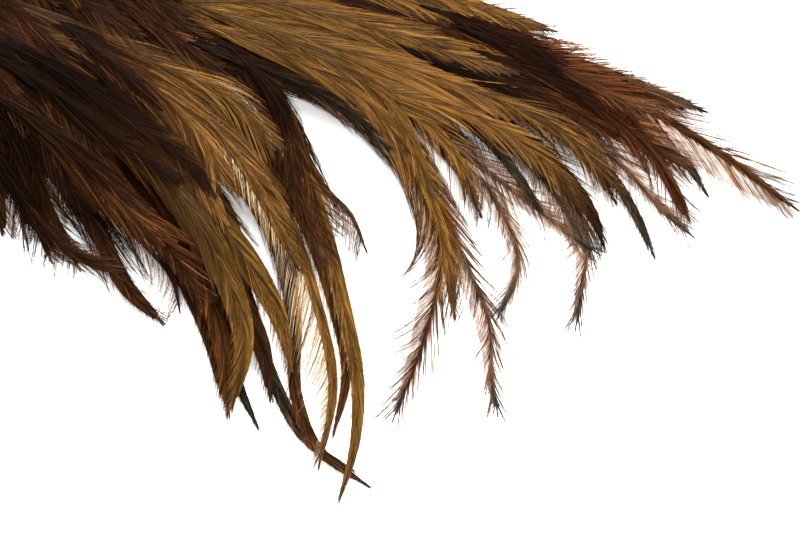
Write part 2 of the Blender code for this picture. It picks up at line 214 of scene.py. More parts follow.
class Barb(Enum):
    """The sorts of barb, each with its part of the UV map's height."""

    WEB = (0.10, 0.28)
    BAND = (0.30, 0.62)
    FREE = (0.65, 0.996)

    def height(self, reached: np.ndarray) -> np.ndarray:
        """Return places in its part of the map, for how far across it each is, from 0 to 1."""
        low, high = self.value
        return low + (high - low) * (0.02 + 0.96 * reached)


def column(tone: np.ndarray | float, along: np.ndarray) -> np.ndarray:
    """Return how far right places are in the UV map.

    Args:
        tone: How light they are, from 0 to 1.
        along: The fractions of the feather's length at which they are.

    Returns:
        A place for each.
    """
    number = np.clip(np.round(tone * (TONES - 1)), 0, TONES - 1)
    return (number + np.clip(along, 0.004, 0.996)) / TONES


@dataclass(frozen=True)
class Spread:
    """How the barbs of a feather stand.

    A rake is how many times further ahead than aside a barb reaches.

    Args:
        band: Half-width of the sleek band in the root half.
        band_end: Its half-width in the tip half.
        web: How far aside the pale web reaches in the tip half; 0 is none.
        web_rake: The rake of the web's barbs.
        left: Reach of the left free barbs, as a share of the feather's half-width.
        right: Reach of the right free barbs.
        rake_left: The rake of the left free barbs.
        rake_right: The rake of the right free barbs.
        flare: How the free barbs bow: below 1 they stand out more at their ends.
        pitch: Distance between two free barbs.
        taper: The fractions of the length between which the free barbs grow short.
        point: The fraction of the length where the band starts to narrow to its point.
        coarse: Width of the free barbs, against the usual one.
        veiled: Whether a closed sheet lies under the web's barbs.
    """

    band: float = 3.0 * MM
    band_end: float = 1.5 * MM
    web: float = 0.0
    web_rake: float = 3.6
    left: float = 0.55
    right: float = 0.9
    rake_left: float = 2.4
    rake_right: float = 1.5
    flare: float = 0.7
    pitch: float = 0.5 * MM
    taper: tuple[float, float] = (0.76, 1.0)
    point: float = 0.91
    coarse: float = 1.0
    veiled: bool = True

    @property
    def one_sided(self) -> bool:
        """Return whether the web is so wide that nearly all of it is on the right."""
        return self.web >= 4.0 * MM


SPREADS: dict[Kind, Spread] = {
    Kind.FURNACE: Spread(rake_right=2.0),
    Kind.GOLD: Spread(band=3.4 * MM, band_end=1.7 * MM, right=0.8, rake_right=2.2),
    Kind.BROWN: Spread(band_end=2.0 * MM, right=0.7, rake_right=2.4),
    Kind.RED: Spread(band_end=1.8 * MM, left=0.8, right=0.8, rake_right=2.0),
    Kind.GREY: Spread(band=2.2 * MM, band_end=0.6 * MM, web=2.8 * MM, left=0.7, right=1.2,
                      rake_right=1.25),
    Kind.BLACK: Spread(band=2.0 * MM, band_end=1.5 * MM, left=0.4, right=0.5),
    Kind.FLUFF: Spread(band=2.0 * MM, band_end=1.0 * MM, left=1.0, right=1.0, rake_left=1.6,
                       rake_right=1.6),
}
# How light each kind is near the root, in the middle and near the tip.
KIND_TONES: dict[Kind, Tones] = {
    Kind.FURNACE: (0.3, 0.5, 0.7),
    Kind.GOLD: (0.3, 0.65, 0.7),
    Kind.BROWN: (0.3, 0.4, 0.6),
    Kind.RED: (0.35, 0.55, 0.7),
    Kind.GREY: (0.3, 0.5, 0.75),
    Kind.BLACK: (0.3, 0.4, 0.6),
    Kind.FLUFF: (0.4, 0.5, 0.6),
}
# The same of single feathers, where they differ from their kind.
TONES_ALONG: dict[str, Tones] = {
    "right_hackle_05": (0.5, 0.5, 0.6),
    "right_hackle_11": (0.3, 0.45, 0.75),
    "right_hackle_14": (0.4, 0.5, 0.6),
    "right_hackle_16": (0.4, 0.4, 0.35),
    "right_hackle_17": (0.3, 0.4, 0.75),
    "right_hackle_18": (0.3, 0.4, 0.75),
    "right_hackle_19": (0.8, 0.75, 0.5),
    "right_hackle_20": (0.5, 0.75, 0.6),
    "right_hackle_21": (0.6, 0.8, 0.55),
    "right_hackle_22": (0.75, 0.7, 0.35),
    "right_hackle_23": (0.6, 0.85, 0.5),
    "right_hackle_24": (0.75, 0.8, 0.4),
    "left_hackle_03": (0.3, 0.3, 0.4),
    "left_hackle_11": (0.2, 0.25, 0.3),
    "left_hackle_12": (0.2, 0.5, 0.85),
    "left_hackle_13": (0.2, 0.6, 0.75),
    "left_hackle_14": (0.2, 0.6, 0.75),
    "left_hackle_15": (0.0, 0.1, 0.95),
    "left_hackle_16": (0.0, 0.15, 0.95),
    "left_hackle_17": (0.15, 0.3, 0.7),
    "left_hackle_18": (0.1, 0.25, 0.6),
    "left_hackle_19": (0.1, 0.4, 0.65),
    "left_hackle_20": (0.15, 0.6, 0.7),
    "left_hackle_21": (0.15, 0.6, 0.65),
}
# How the barbs of single feathers stand, where they differ from their kind. The two loops close
# to a thin curved end. The lone feather and the cream fan stand open round a pale web. The lancet
# keeps its width to a short point. North and east are loose on their left and west slightly on
# its right, where they lie at the saddle's edge. The sleek feather and the streak lie close.
LOOP = Spread(band=3.0 * MM, band_end=2.2 * MM, web=2.6 * MM, web_rake=2.6, left=0.2, right=0.42,
              rake_left=3.5, rake_right=3.2, taper=(0.68, 0.9), point=0.8)
DARK_LOOP = Spread(band=3.8 * MM, band_end=2.0 * MM, web=2.0 * MM, web_rake=2.6, left=0.25,
                   right=0.42, rake_left=3.4, rake_right=3.0, taper=(0.7, 0.95), point=0.8)
LONE = Spread(band=2.0 * MM, band_end=0.25 * MM, web=5.0 * MM, web_rake=2.2, left=0.75,
              right=1.25, rake_left=2.6, rake_right=1.2, flare=0.65, pitch=0.44 * MM,
              taper=(0.76, 1.02), coarse=1.1)
CREAM_FAN = Spread(band=1.6 * MM, band_end=0.7 * MM, web=7.0 * MM, web_rake=1.5, left=0.15,
                   right=0.95, rake_left=3.5, rake_right=1.5, flare=1.0, pitch=0.5 * MM,
                   taper=(0.86, 1.05), point=0.85, coarse=0.8, veiled=False)
LANCET = Spread(band=4.6 * MM, band_end=4.2 * MM, left=0.25, right=0.42, rake_left=3.5,
                rake_right=3.0, point=0.74)
NORTH = Spread(band_end=1.8 * MM, left=0.75, right=0.45, rake_left=2.4, rake_right=2.6)
WEST = Spread(band=4.0 * MM, band_end=2.8 * MM, left=0.4, right=0.4, rake_left=3.0,
              rake_right=2.0, point=0.82)
SLEEK = Spread(band=3.6 * MM, band_end=2.2 * MM, left=0.45, right=0.5, rake_left=4.0,
               rake_right=3.4)
STREAK = Spread(band=2.6 * MM, band_end=1.5 * MM, web=5.5 * MM, web_rake=1.8, left=0.5, right=0.6,
                rake_left=2.4, rake_right=2.0, veiled=False)
EAST = Spread(band=3.0 * MM, band_end=2.0 * MM, left=1.0, right=0.4, rake_left=1.7, rake_right=3.0,
              pitch=0.42 * MM)
SPREAD_OF: dict[str, Spread] = {
    "right_hackle_01": LONE,
    "right_hackle_02": LONE,
    "right_hackle_05": LONE,
    "right_hackle_09": Spread(band_end=1.0 * MM, web=8.0 * MM, web_rake=2.4, left=0.8,
                              right=0.95, rake_left=2.8, rake_right=2.2, flare=0.9,
                              taper=(0.8, 1.0)),
    "right_hackle_10": NORTH,
    "right_hackle_11": NORTH,
    "right_hackle_18": NORTH,
    "right_hackle_19": NORTH,
    "right_hackle_22": SLEEK,
    "right_hackle_23": SLEEK,
    "right_hackle_24": SLEEK,
    "left_hackle_03": CREAM_FAN,
    "left_hackle_04": WEST,
    "left_hackle_05": LANCET,
    "left_hackle_06": DARK_LOOP,
    "left_hackle_07": LANCET,
    "left_hackle_08": DARK_LOOP,
    "left_hackle_09": DARK_LOOP,
    "left_hackle_10": LANCET,
    "left_hackle_11": CREAM_FAN,
    "left_hackle_12": DARK_LOOP,
    "left_hackle_13": Spread(band=2.0 * MM, band_end=1.6 * MM, web=10.5 * MM, web_rake=1.7,
                             left=0.15, right=1.5, rake_left=3.5, rake_right=1.6, flare=1.0,
                             pitch=0.38 * MM, taper=(0.7, 0.9), point=0.8, coarse=0.8,
                             veiled=False),
    "left_hackle_14": LOOP,
    "left_hackle_15": LANCET,
    "left_hackle_16": LANCET,
    "left_hackle_17": EAST,
    "left_hackle_18": SLEEK,
    "left_hackle_19": STREAK,
    "left_hackle_20": SLEEK,
    "left_hackle_21": SLEEK,
}


class NodeBoard:
    """A material's node tree, with short calls for the nodes that the finishes share."""

    def __init__(self, name: str) -> None:
        """Start an empty material.

        Args:
            name: The material's name.
        """
        self.material = bpy.data.materials.new(name)
        self.material.use_nodes = True
        self.tree = self.material.node_tree
        self.shader = self.tree.nodes["Principled BSDF"]
        self.output = self.tree.nodes["Material Output"]

    def add(self, kind: str, **settings: object) -> bpy.types.Node:
        """Add a node and set its properties.

        Args:
            kind: The node's type name.
            settings: Properties to set on it.

        Returns:
            The new node.
        """
        node = self.tree.nodes.new(kind)
        for key, value in settings.items():
            setattr(node, key, value)
        return node

    def feed(self, socket: bpy.types.NodeSocket, source: object) -> None:
        """Link a socket to an output, or set it to a value.

        Args:
            socket: The input socket.
            source: An output socket, or a plain value.
        """
        if isinstance(source, bpy.types.NodeSocket):
            self.tree.links.new(source, socket)
        else:
            socket.default_value = source

    def math(self, operation: str, first: object,
             second: object = 0.0) -> bpy.types.NodeSocket:
        """Return the output of a Math node.

        Args:
            operation: The operation's name.
            first: First input, a value or an output socket.
            second: Second input.

        Returns:
            The result's socket.
        """
        node = self.add("ShaderNodeMath", operation=operation)
        for socket, source in zip(node.inputs, (first, second)):
            self.feed(socket, source)
        return node.outputs[0]

    def remap(self, source: object, low: float, high: float, to_low: float,
              to_high: float) -> bpy.types.NodeSocket:
        """Return a value mapped smoothly from one range to another.

        Args:
            source: The value to map.
            low: Start of its range.
            high: End of its range.
            to_low: Result at the start.
            to_high: Result at the end.

        Returns:
            The result's socket.
        """
        node = self.add("ShaderNodeMapRange", interpolation_type="SMOOTHSTEP")
        for socket, value in zip(node.inputs, (source, low, high, to_low, to_high)):
            self.feed(socket, value)
        return node.outputs[0]

    def ramp(self, source: object, stops: tuple[tuple[float, Colour], ...]
             ) -> bpy.types.NodeSocket:
        """Return a colour looked up on a ramp.

        Args:
            source: The place on the ramp.
            stops: Places and colours.

        Returns:
            The colour's socket.
        """
        node = self.add("ShaderNodeValToRGB")
        self.feed(node.inputs[0], source)
        elements = node.color_ramp.elements
        while len(elements) < len(stops):
            elements.new(0.5)
        for element, (place, colour) in zip(elements, stops):
            element.position = place
            element.color = (*colour, 1.0)
        return node.outputs[0]

    def mix(self, factor: object, first: object, second: object,
            blend: str = "MIX") -> bpy.types.NodeSocket:
        """Return the mix of two colours.

        Args:
            factor: Share of the second.
            first: First colour.
            second: Second colour.
            blend: The way of mixing.

        Returns:
            The colour's socket.
        """
        node = self.add("ShaderNodeMix", data_type="RGBA", blend_type=blend)
        self.feed(node.inputs[0], factor)
        self.feed(node.inputs[6], first)
        self.feed(node.inputs[7], second)
        return node.outputs[2]


@dataclass(frozen=True)
class VaneColours:
    """The colours across a vane.

    Args:
        web: The pale web's, at its root.
        band: The sleek band's, beside the shaft.
        edge: The sleek band's, at its edge.
        free: The free barbs', at their roots.
        free_end: The free barbs', at their ends.
    """

    web: Colour
    band: Colour
    edge: Colour
    free: Colour
    free_end: Colour

    def stops(self) -> tuple[tuple[float, Colour], ...]:
        """Return them as the stops of a ramp over the UV map's height."""
        return (
            (Barb.WEB.value[0], self.web),
            (Barb.WEB.value[1], tuple(0.45 * part for part in self.web)),
            (Barb.BAND.value[0], self.band),
            (Barb.BAND.value[1], self.edge),
            (Barb.FREE.value[0], self.free),
            (Barb.FREE.value[1], self.free_end),
        )


@dataclass(frozen=True)
class VaneFinish:
    """The finish of one kind of feather.

    Args:
        kind: The kind.
        shaft: The shaft's colour.
        near: The vane's colours near its root.
        far: Its colours near its tip.
        change: The fractions of the length between which one turns into the other.
        tip: The colour at the very tip.
        tip_share: How much of that colour shows there.
        tip_from: The fraction of the length where it starts.
        roughness: The barbs' mean roughness.
        specular: Their specular level.
        seen_through: The share of light that comes through them.
    """

    kind: Kind
    shaft: Colour
    near: VaneColours
    far: VaneColours
    change: tuple[float, float] = (0.3, 0.75)
    tip: Colour = (0.03, 0.016, 0.009)
    tip_share: float = 0.6
    tip_from: float = 0.86
    roughness: float = 0.5
    specular: float = 0.05
    seen_through: float = 0.25

    def base(self, board: NodeBoard, along: bpy.types.NodeSocket,
             height: bpy.types.NodeSocket) -> bpy.types.NodeSocket:
        """Return the vane's colour before its tone and streaks.

        Args:
            board: The material's nodes.
            along: The fraction of the feather's length.
            height: The place in the UV map's height.

        Returns:
            The colour's socket.
        """
        near = board.ramp(height, self.near.stops())
        far = board.ramp(height, self.far.stops())
        colour = board.mix(board.remap(along, *self.change, 0.0, 1.0), near, far)
        at_tip = board.remap(along, self.tip_from, 0.97, 0.0, self.tip_share)
        return board.mix(at_tip, colour, (*self.tip, 1.0))

    @staticmethod
    def streaks(board: NodeBoard, *places: bpy.types.NodeSocket) -> bpy.types.NodeSocket:
        """Return a noise drawn out in streaks.

        Args:
            board: The material's nodes.
            places: The place along the feather, the one across it, and the tone.

        Returns:
            The noise's socket.
        """
        noise = board.add("ShaderNodeTexNoise", noise_dimensions="3D")
        where = board.add("ShaderNodeCombineXYZ")
        for socket, place, scale in zip(where.inputs, places, STREAKS):
            board.feed(socket, board.math("MULTIPLY", place, scale))
        board.feed(noise.inputs["Vector"], where.outputs[0])
        board.feed(noise.inputs["Scale"], 1.0)
        board.feed(noise.inputs["Detail"], 3.0)
        return noise.outputs[0]

    def material(self) -> bpy.types.Material:
        """Return the material, whose pattern reads the barbs' own UV map."""
        board = NodeBoard(f"{self.kind.value}_barbs")
        place = board.add("ShaderNodeUVMap", uv_map=UV_NAME)
        split = board.add("ShaderNodeSeparateXYZ")
        board.feed(split.inputs[0], place.outputs[0])
        scaled = board.math("MULTIPLY", split.outputs[0], float(TONES))
        along = board.math("FRACT", scaled)
        height = split.outputs[1]
        tone = board.math("DIVIDE", board.math("FLOOR", scaled), TONES - 1.0)
        light = board.math("MULTIPLY", board.math("POWER", TONE_RANGE, tone), DARKEST)
        streak = self.streaks(board, along, height, tone)
        strength = board.math("MULTIPLY", light, board.remap(streak, 0.3, 0.7, 0.75, 1.25))
        grey = board.add("ShaderNodeCombineColor")
        for socket in grey.inputs[:3]:
            board.feed(socket, strength)
        colour = board.mix(1.0, self.base(board, along, height), grey.outputs[0], "MULTIPLY")
        is_shaft = board.math("LESS_THAN", height, SHAFT_TO)
        colour = board.mix(is_shaft, colour, (*self.shaft, 1.0))
        board.feed(board.shader.inputs["Base Color"], colour)
        board.feed(board.shader.inputs["Roughness"],
                   board.remap(streak, 0.3, 0.7, self.roughness - 0.08, self.roughness + 0.1))
        board.shader.inputs["Specular IOR Level"].default_value = self.specular
        glow = board.add("ShaderNodeBsdfTranslucent")
        board.feed(glow.inputs[0], colour)
        blend = board.add("ShaderNodeMixShader")
        blend.inputs[0].default_value = self.seen_through
        board.feed(blend.inputs[1], board.shader.outputs[0])
        board.feed(blend.inputs[2], glow.outputs[0])
        board.feed(board.output.inputs[0], blend.outputs[0])
        return board.material


PALE_WEB: Colour = (0.56, 0.46, 0.40)
CREAM_WEB: Colour = (0.60, 0.45, 0.27)
FINISHES: dict[Kind, VaneFinish] = {
    Kind.FURNACE: VaneFinish(
        Kind.FURNACE, (0.010, 0.004, 0.002),
        VaneColours((0.03, 0.014, 0.006), (0.006, 0.002, 0.001), (0.020, 0.007, 0.002),
                    (0.012, 0.004, 0.001), (0.045, 0.015, 0.004)),
        VaneColours(PALE_WEB, (0.018, 0.006, 0.002), (0.085, 0.032, 0.007),
                    (0.035, 0.011, 0.003), (0.17, 0.06, 0.016)),
        specular=0.02),
    Kind.GOLD: VaneFinish(
        Kind.GOLD, (0.05, 0.022, 0.006),
        VaneColours((0.04, 0.02, 0.008), (0.03, 0.013, 0.003), (0.13, 0.060, 0.010),
                    (0.05, 0.021, 0.004), (0.13, 0.058, 0.011)),
        VaneColours(CREAM_WEB, (0.045, 0.019, 0.0035), (0.195, 0.092, 0.0145),
                    (0.06, 0.024, 0.006), (0.17, 0.078, 0.018))),
    Kind.BROWN: VaneFinish(
        Kind.BROWN, (0.006, 0.003, 0.001),
        VaneColours((0.02, 0.01, 0.005), (0.004, 0.001, 0.0004), (0.014, 0.0043, 0.0012),
                    (0.006, 0.0018, 0.0006), (0.026, 0.008, 0.002)),
        VaneColours((0.22, 0.15, 0.10), (0.012, 0.004, 0.002), (0.045, 0.016, 0.005),
                    (0.020, 0.007, 0.002), (0.09, 0.034, 0.009)),
        specular=0.02),
    Kind.RED: VaneFinish(
        Kind.RED, (0.008, 0.003, 0.002),
        VaneColours((0.03, 0.012, 0.006), (0.007, 0.002, 0.001), (0.022, 0.007, 0.002),
                    (0.012, 0.004, 0.001), (0.035, 0.011, 0.003)),
        VaneColours(PALE_WEB, (0.018, 0.005, 0.002), (0.07, 0.022, 0.006),
                    (0.035, 0.010, 0.003), (0.16, 0.055, 0.016)),
        specular=0.02),
    Kind.GREY: VaneFinish(
        Kind.GREY, (0.012, 0.006, 0.003),
        VaneColours((0.08, 0.045, 0.025), (0.014, 0.006, 0.002), (0.05, 0.020, 0.006),
                    (0.025, 0.009, 0.003), (0.08, 0.032, 0.010)),
        VaneColours(PALE_WEB, (0.035, 0.016, 0.008), (0.16, 0.09, 0.05),
                    (0.035, 0.013, 0.005), (0.20, 0.088, 0.036)),
        tip=(0.012, 0.012, 0.009), tip_share=0.9, tip_from=0.9, seen_through=0.35),
    Kind.BLACK: VaneFinish(
        Kind.BLACK, (0.006, 0.004, 0.003),
        VaneColours((0.08, 0.05, 0.03), (0.006, 0.003, 0.002), (0.020, 0.009, 0.004),
                    (0.015, 0.006, 0.003), (0.06, 0.025, 0.010)),
        VaneColours(PALE_WEB, (0.012, 0.009, 0.005), (0.028, 0.022, 0.012),
                    (0.03, 0.017, 0.009), (0.13, 0.07, 0.03)),
        tip=(0.012, 0.011, 0.007), tip_share=0.9, specular=0.02, seen_through=0.15),
    Kind.FLUFF: VaneFinish(
        Kind.FLUFF, (0.006, 0.003, 0.002),
        VaneColours((0.03, 0.018, 0.01), (0.006, 0.003, 0.001), (0.014, 0.006, 0.002),
                    (0.008, 0.003, 0.001), (0.025, 0.010, 0.004)),
        VaneColours((0.20, 0.14, 0.10), (0.010, 0.004, 0.002), (0.03, 0.012, 0.004),
                    (0.018, 0.007, 0.003), (0.07, 0.030, 0.012)),
        roughness=0.58, specular=0.02),
}


@dataclass(frozen=True)
class HideFinish:
    """Dried saddle hide: yellowish cream, mottled and pitted.

    Args:
        name: The material's name.
        pale: Its paler colour.
        dark: Its darker colour.
        pit: The colour in its pits.
        mottles: How fine the mottling is.
        pits: How fine the pits are.
        depth: How deep they are.
    """

    name: str = "dried_hide"
    pale: Colour = (0.34, 0.24, 0.14)
    dark: Colour = (0.17, 0.10, 0.05)
    pit: Colour = (0.20, 0.11, 0.05)
    mottles: float = 60.0
    pits: float = 420.0
    depth: float = 0.4 * MM

    def material(self) -> bpy.types.Material:
        """Return the hide's material, whose pattern reads Object coordinates."""
        board = NodeBoard(self.name)
        place = board.add("ShaderNodeTexCoord")
        mottle = board.add("ShaderNodeTexNoise")
        board.feed(mottle.inputs["Vector"], place.outputs["Object"])
        board.feed(mottle.inputs["Scale"], self.mottles)
        board.feed(mottle.inputs["Detail"], 6.0)
        pits = board.add("ShaderNodeTexVoronoi")
        board.feed(pits.inputs["Vector"], place.outputs["Object"])
        board.feed(pits.inputs["Scale"], self.pits)
        colour = board.mix(board.remap(mottle.outputs[0], 0.35, 0.7, 0.0, 1.0),
                           (*self.pale, 1.0), (*self.dark, 1.0))
        colour = board.mix(board.remap(pits.outputs[0], 0.0, 0.35, 0.55, 0.0), colour,
                           (*self.pit, 1.0))
        board.feed(board.shader.inputs["Base Color"], colour)
        board.feed(board.shader.inputs["Roughness"],
                   board.remap(mottle.outputs[0], 0.3, 0.7, 0.42, 0.66))
        bump = board.add("ShaderNodeBump")
        bump.inputs["Strength"].default_value = 0.5
        bump.inputs["Distance"].default_value = self.depth
        height = board.math("ADD", pits.outputs[0], mottle.outputs[0])
        board.feed(bump.inputs["Height"], height)
        board.feed(board.shader.inputs["Normal"], bump.outputs[0])
        return board.material


@dataclass
class Template:
    """A small shape made once, ready to be repeated.

    Args:
        points: Its points, one to a row.
        faces: For each face, the numbers of its points.
    """

    points: np.ndarray
    faces: list[list[int]]

    @classmethod
    def from_bmesh(cls, bm: bmesh.types.BMesh) -> "Template":
        """Take the shape of a bmesh and free it.

        Args:
            bm: The shape.

        Returns:
            Its template.
        """
        bm.verts.index_update()
        points = np.array([vert.co[:] for vert in bm.verts])
        faces = [[vert.index for vert in face.verts] for face in bm.faces]
        bm.free()
        return cls(points, faces)

    @classmethod
    def ribbon(cls, lengths: int, strips: int = 1) -> "Template":
        """Return a flat ribbon: x from -1 to 1 across it, y from 0 to 1 along it.

        Args:
            lengths: How many faces it has along it.
            strips: How many faces it has across it.

        Returns:
            The ribbon.
        """
        bm = bmesh.new()
        bmesh.ops.create_grid(bm, x_segments=strips, y_segments=lengths, size=1.0)
        for vert in bm.verts:
            vert.co.y = 0.5 * (vert.co.y + 1.0)
        return cls.from_bmesh(bm)

    @classmethod
    def tube(cls, sides: int, lengths: int) -> "Template":
        """Return a closed tube of radius 1 that runs from z = 0 to z = 1.

        Args:
            sides: How many faces it has round it.
            lengths: How many faces it has along it.

        Returns:
            The tube.
        """
        bm = bmesh.new()
        bmesh.ops.create_cone(bm, cap_ends=True, segments=sides, radius1=1.0, radius2=1.0,
                              depth=1.0)
        bmesh.ops.translate(bm, verts=bm.verts, vec=(0.0, 0.0, 0.5))
        upright = [edge for edge in bm.edges
                   if abs(edge.verts[0].co.z - edge.verts[1].co.z) > 0.5]
        bmesh.ops.subdivide_edges(bm, edges=upright, cuts=lengths - 1)
        return cls.from_bmesh(bm)


@dataclass
class Heap:
    """Shapes gathered as arrays, to be joined in one mesh.

    Args:
        points: The points of each shape.
        maps: Their places in the UV map.
        faces: For each face, the numbers of its points.
        count: How many points there are.
    """

    points: list[np.ndarray] = field(default_factory=list)
    maps: list[np.ndarray] = field(default_factory=list)
    faces: list[list[int]] = field(default_factory=list)
    count: int = 0

    def add(self, points: np.ndarray, places: np.ndarray, template: Template) -> None:
        """Add copies of a template.

        Args:
            points: Places of the copies' points, as copies by points by 3.
            places: Their UV places, as copies by points by 2.
            template: The shape that they repeat.
        """
        copies, size = points.shape[:2]
        self.points.append(points.reshape(-1, 3))
        self.maps.append(places.reshape(-1, 2))
        for i in range(copies):
            start = self.count + i * size
            self.faces.extend([start + k for k in face] for face in template.faces)
        self.count += copies * size

    def piece(self, name: str, finish: bpy.types.Material) -> bpy.types.Object:
        """Make one object of all that was gathered.

        Args:
            name: The object's name.
            finish: Its material.

        Returns:
            The new object.
        """
        mesh = bpy.data.meshes.new(name)
        points = np.concatenate(self.points)
        mesh.from_pydata(points, [], self.faces)
        layer = mesh.uv_layers.new(name=UV_NAME)
        corners = np.empty(len(mesh.loops), dtype=np.int64)
        mesh.loops.foreach_get("vertex_index", corners)
        layer.uv.foreach_set("vector", np.concatenate(self.maps)[corners].ravel())
        mesh.materials.append(finish)
        mesh.shade_smooth()
        piece = bpy.data.objects.new(name, mesh)
        bpy.context.scene.collection.objects.link(piece)
        return piece


def smooth_step(value: np.ndarray) -> np.ndarray:
    """Return 0 below 0, 1 above 1 and a smooth rise between."""
    value = np.clip(value, 0.0, 1.0)
    return value * value * (3.0 - 2.0 * value)


class Quill:
    """A feather's line: a smooth curve on the plan with the height of its shaft along it."""

    def __init__(self, curve: np.ndarray) -> None:
        """Take a dense curve, and measure it.

        Args:
            curve: Its points on the plan, in metres.
        """
        self.curve = curve
        steps = np.linalg.norm(np.diff(curve, axis=0), axis=1)
        self.lengths = np.concatenate(([0.0], np.cumsum(steps)))
        self.length = float(self.lengths[-1])
        heading = np.gradient(curve, self.lengths, axis=0)
        self.heading = heading / np.linalg.norm(heading, axis=1)[:, None]
        self.stations = np.array([0.0, self.length])
        self.floor = np.zeros(2)
        self.top = np.zeros(2)

    @classmethod
    def through(cls, points: RoutePoints) -> "Quill":
        """Return the smooth curve through a route's points.

        Args:
            points: The route, in millimetres on the plan.

        Returns:
            The quill.
        """
        knots = np.array(points, dtype=float) * MM
        spans = np.linalg.norm(np.diff(knots, axis=0), axis=1)
        chords = np.diff(knots, axis=0) / spans[:, None]
        tangents = np.empty_like(knots)
        tangents[0] = chords[0]
        tangents[-1] = chords[-1]
        for i in range(1, len(knots) - 1):
            weight = spans[i] + spans[i - 1]
            tangents[i] = (chords[i - 1] * spans[i] + chords[i] * spans[i - 1]) / weight
        pieces = []
        for i, span in enumerate(spans):
            u = np.linspace(0.0, 1.0, 24, endpoint=False)[:, None]
            start = (2 * u ** 3 - 3 * u ** 2 + 1) * knots[i]
            end = (3 * u ** 2 - 2 * u ** 3) * knots[i + 1]
            leaving = (u ** 3 - 2 * u ** 2 + u) * span * tangents[i]
            arriving = (u ** 3 - u ** 2) * span * tangents[i + 1]
            pieces.append(start + end + leaving + arriving)
        pieces.append(knots[-1:])
        return cls(np.concatenate(pieces))

    def at(self, s: np.ndarray) -> tuple[np.ndarray, np.ndarray]:
        """Return places on the curve and its sideways direction there.

        Args:
            s: Lengths along the curve; beyond its end it runs on straight.

        Returns:
            Places on the plan, and unit vectors to the curve's left.
        """
        inside = np.clip(s, 0.0, self.length)
        place = np.stack([np.interp(inside, self.lengths, self.curve[:, k]) for k in (0, 1)],
                         axis=-1)
        ahead = np.stack([np.interp(inside, self.lengths, self.heading[:, k]) for k in (0, 1)],
                         axis=-1)
        place = place + ahead * (s - inside)[..., None]
        left = np.stack([-ahead[..., 1], ahead[..., 0]], axis=-1)
        return place, left

    def measure(self, node: bpy.types.Object) -> None:
        """Take the heights of the solid's underside and ridge along the curve.

        Args:
            node: The solid.
        """
        mesh = node.data
        tree = BVHTree.FromPolygons([vert.co[:] for vert in mesh.vertices],
                                    [tuple(face.vertices) for face in mesh.polygons])
        count = max(12, int(self.length / (3.0 * MM)))
        self.stations = np.linspace(0.002, 0.998, count) * self.length
        places, _ = self.at(self.stations)
        tops = []
        floors = []
        for x, y in places:
            down = tree.ray_cast(Vector((x, y, 1.0)), Vector((0.0, 0.0, -1.0)))[0]
            up = tree.ray_cast(Vector((x, y, -1.0)), Vector((0.0, 0.0, 1.0)))[0]
            if down is None or up is None:
                near = tree.find_nearest(Vector((x, y, tops[-1] if tops else 0.01)))[0]
                down = down or near
                up = up or near
            tops.append(down.z)
            floors.append(up.z)
        self.top = np.array(tops)
        self.floor = np.array(floors)

    def heights(self, s: np.ndarray) -> tuple[np.ndarray, np.ndarray]:
        """Return the underside's and the ridge's height at lengths along the curve."""
        return np.interp(s, self.stations, self.floor), np.interp(s, self.stations, self.top)

    def beside(self, offset: float, start: float, cut: float, veer: float,
               raised: float) -> "Quill":
        """Return a shorter curve that leaves this one, runs beside it and veers off at its tip.

        Args:
            offset: How far to the left it runs, in metres.
            start: Fraction of the length where it begins.
            cut: Fraction of the length where it ends.
            veer: How far its tip turns further aside, in metres.
            raised: How far above this one it lies, in metres.

        Returns:
            The new curve, with this one's heights.
        """
        s = np.linspace(start, cut, 80) * self.length
        place, left = self.at(s)
        u = np.linspace(0.0, 1.0, 80)
        shift = offset * smooth_step(u / 0.5) + veer * u ** 3
        quill = Quill(place + left * shift[:, None])
        low, high = self.heights(s)
        quill.stations = quill.lengths
        quill.floor = np.maximum(low + raised, 0.0)
        quill.top = np.maximum(high + raised, 0.2 * MM)
        return quill


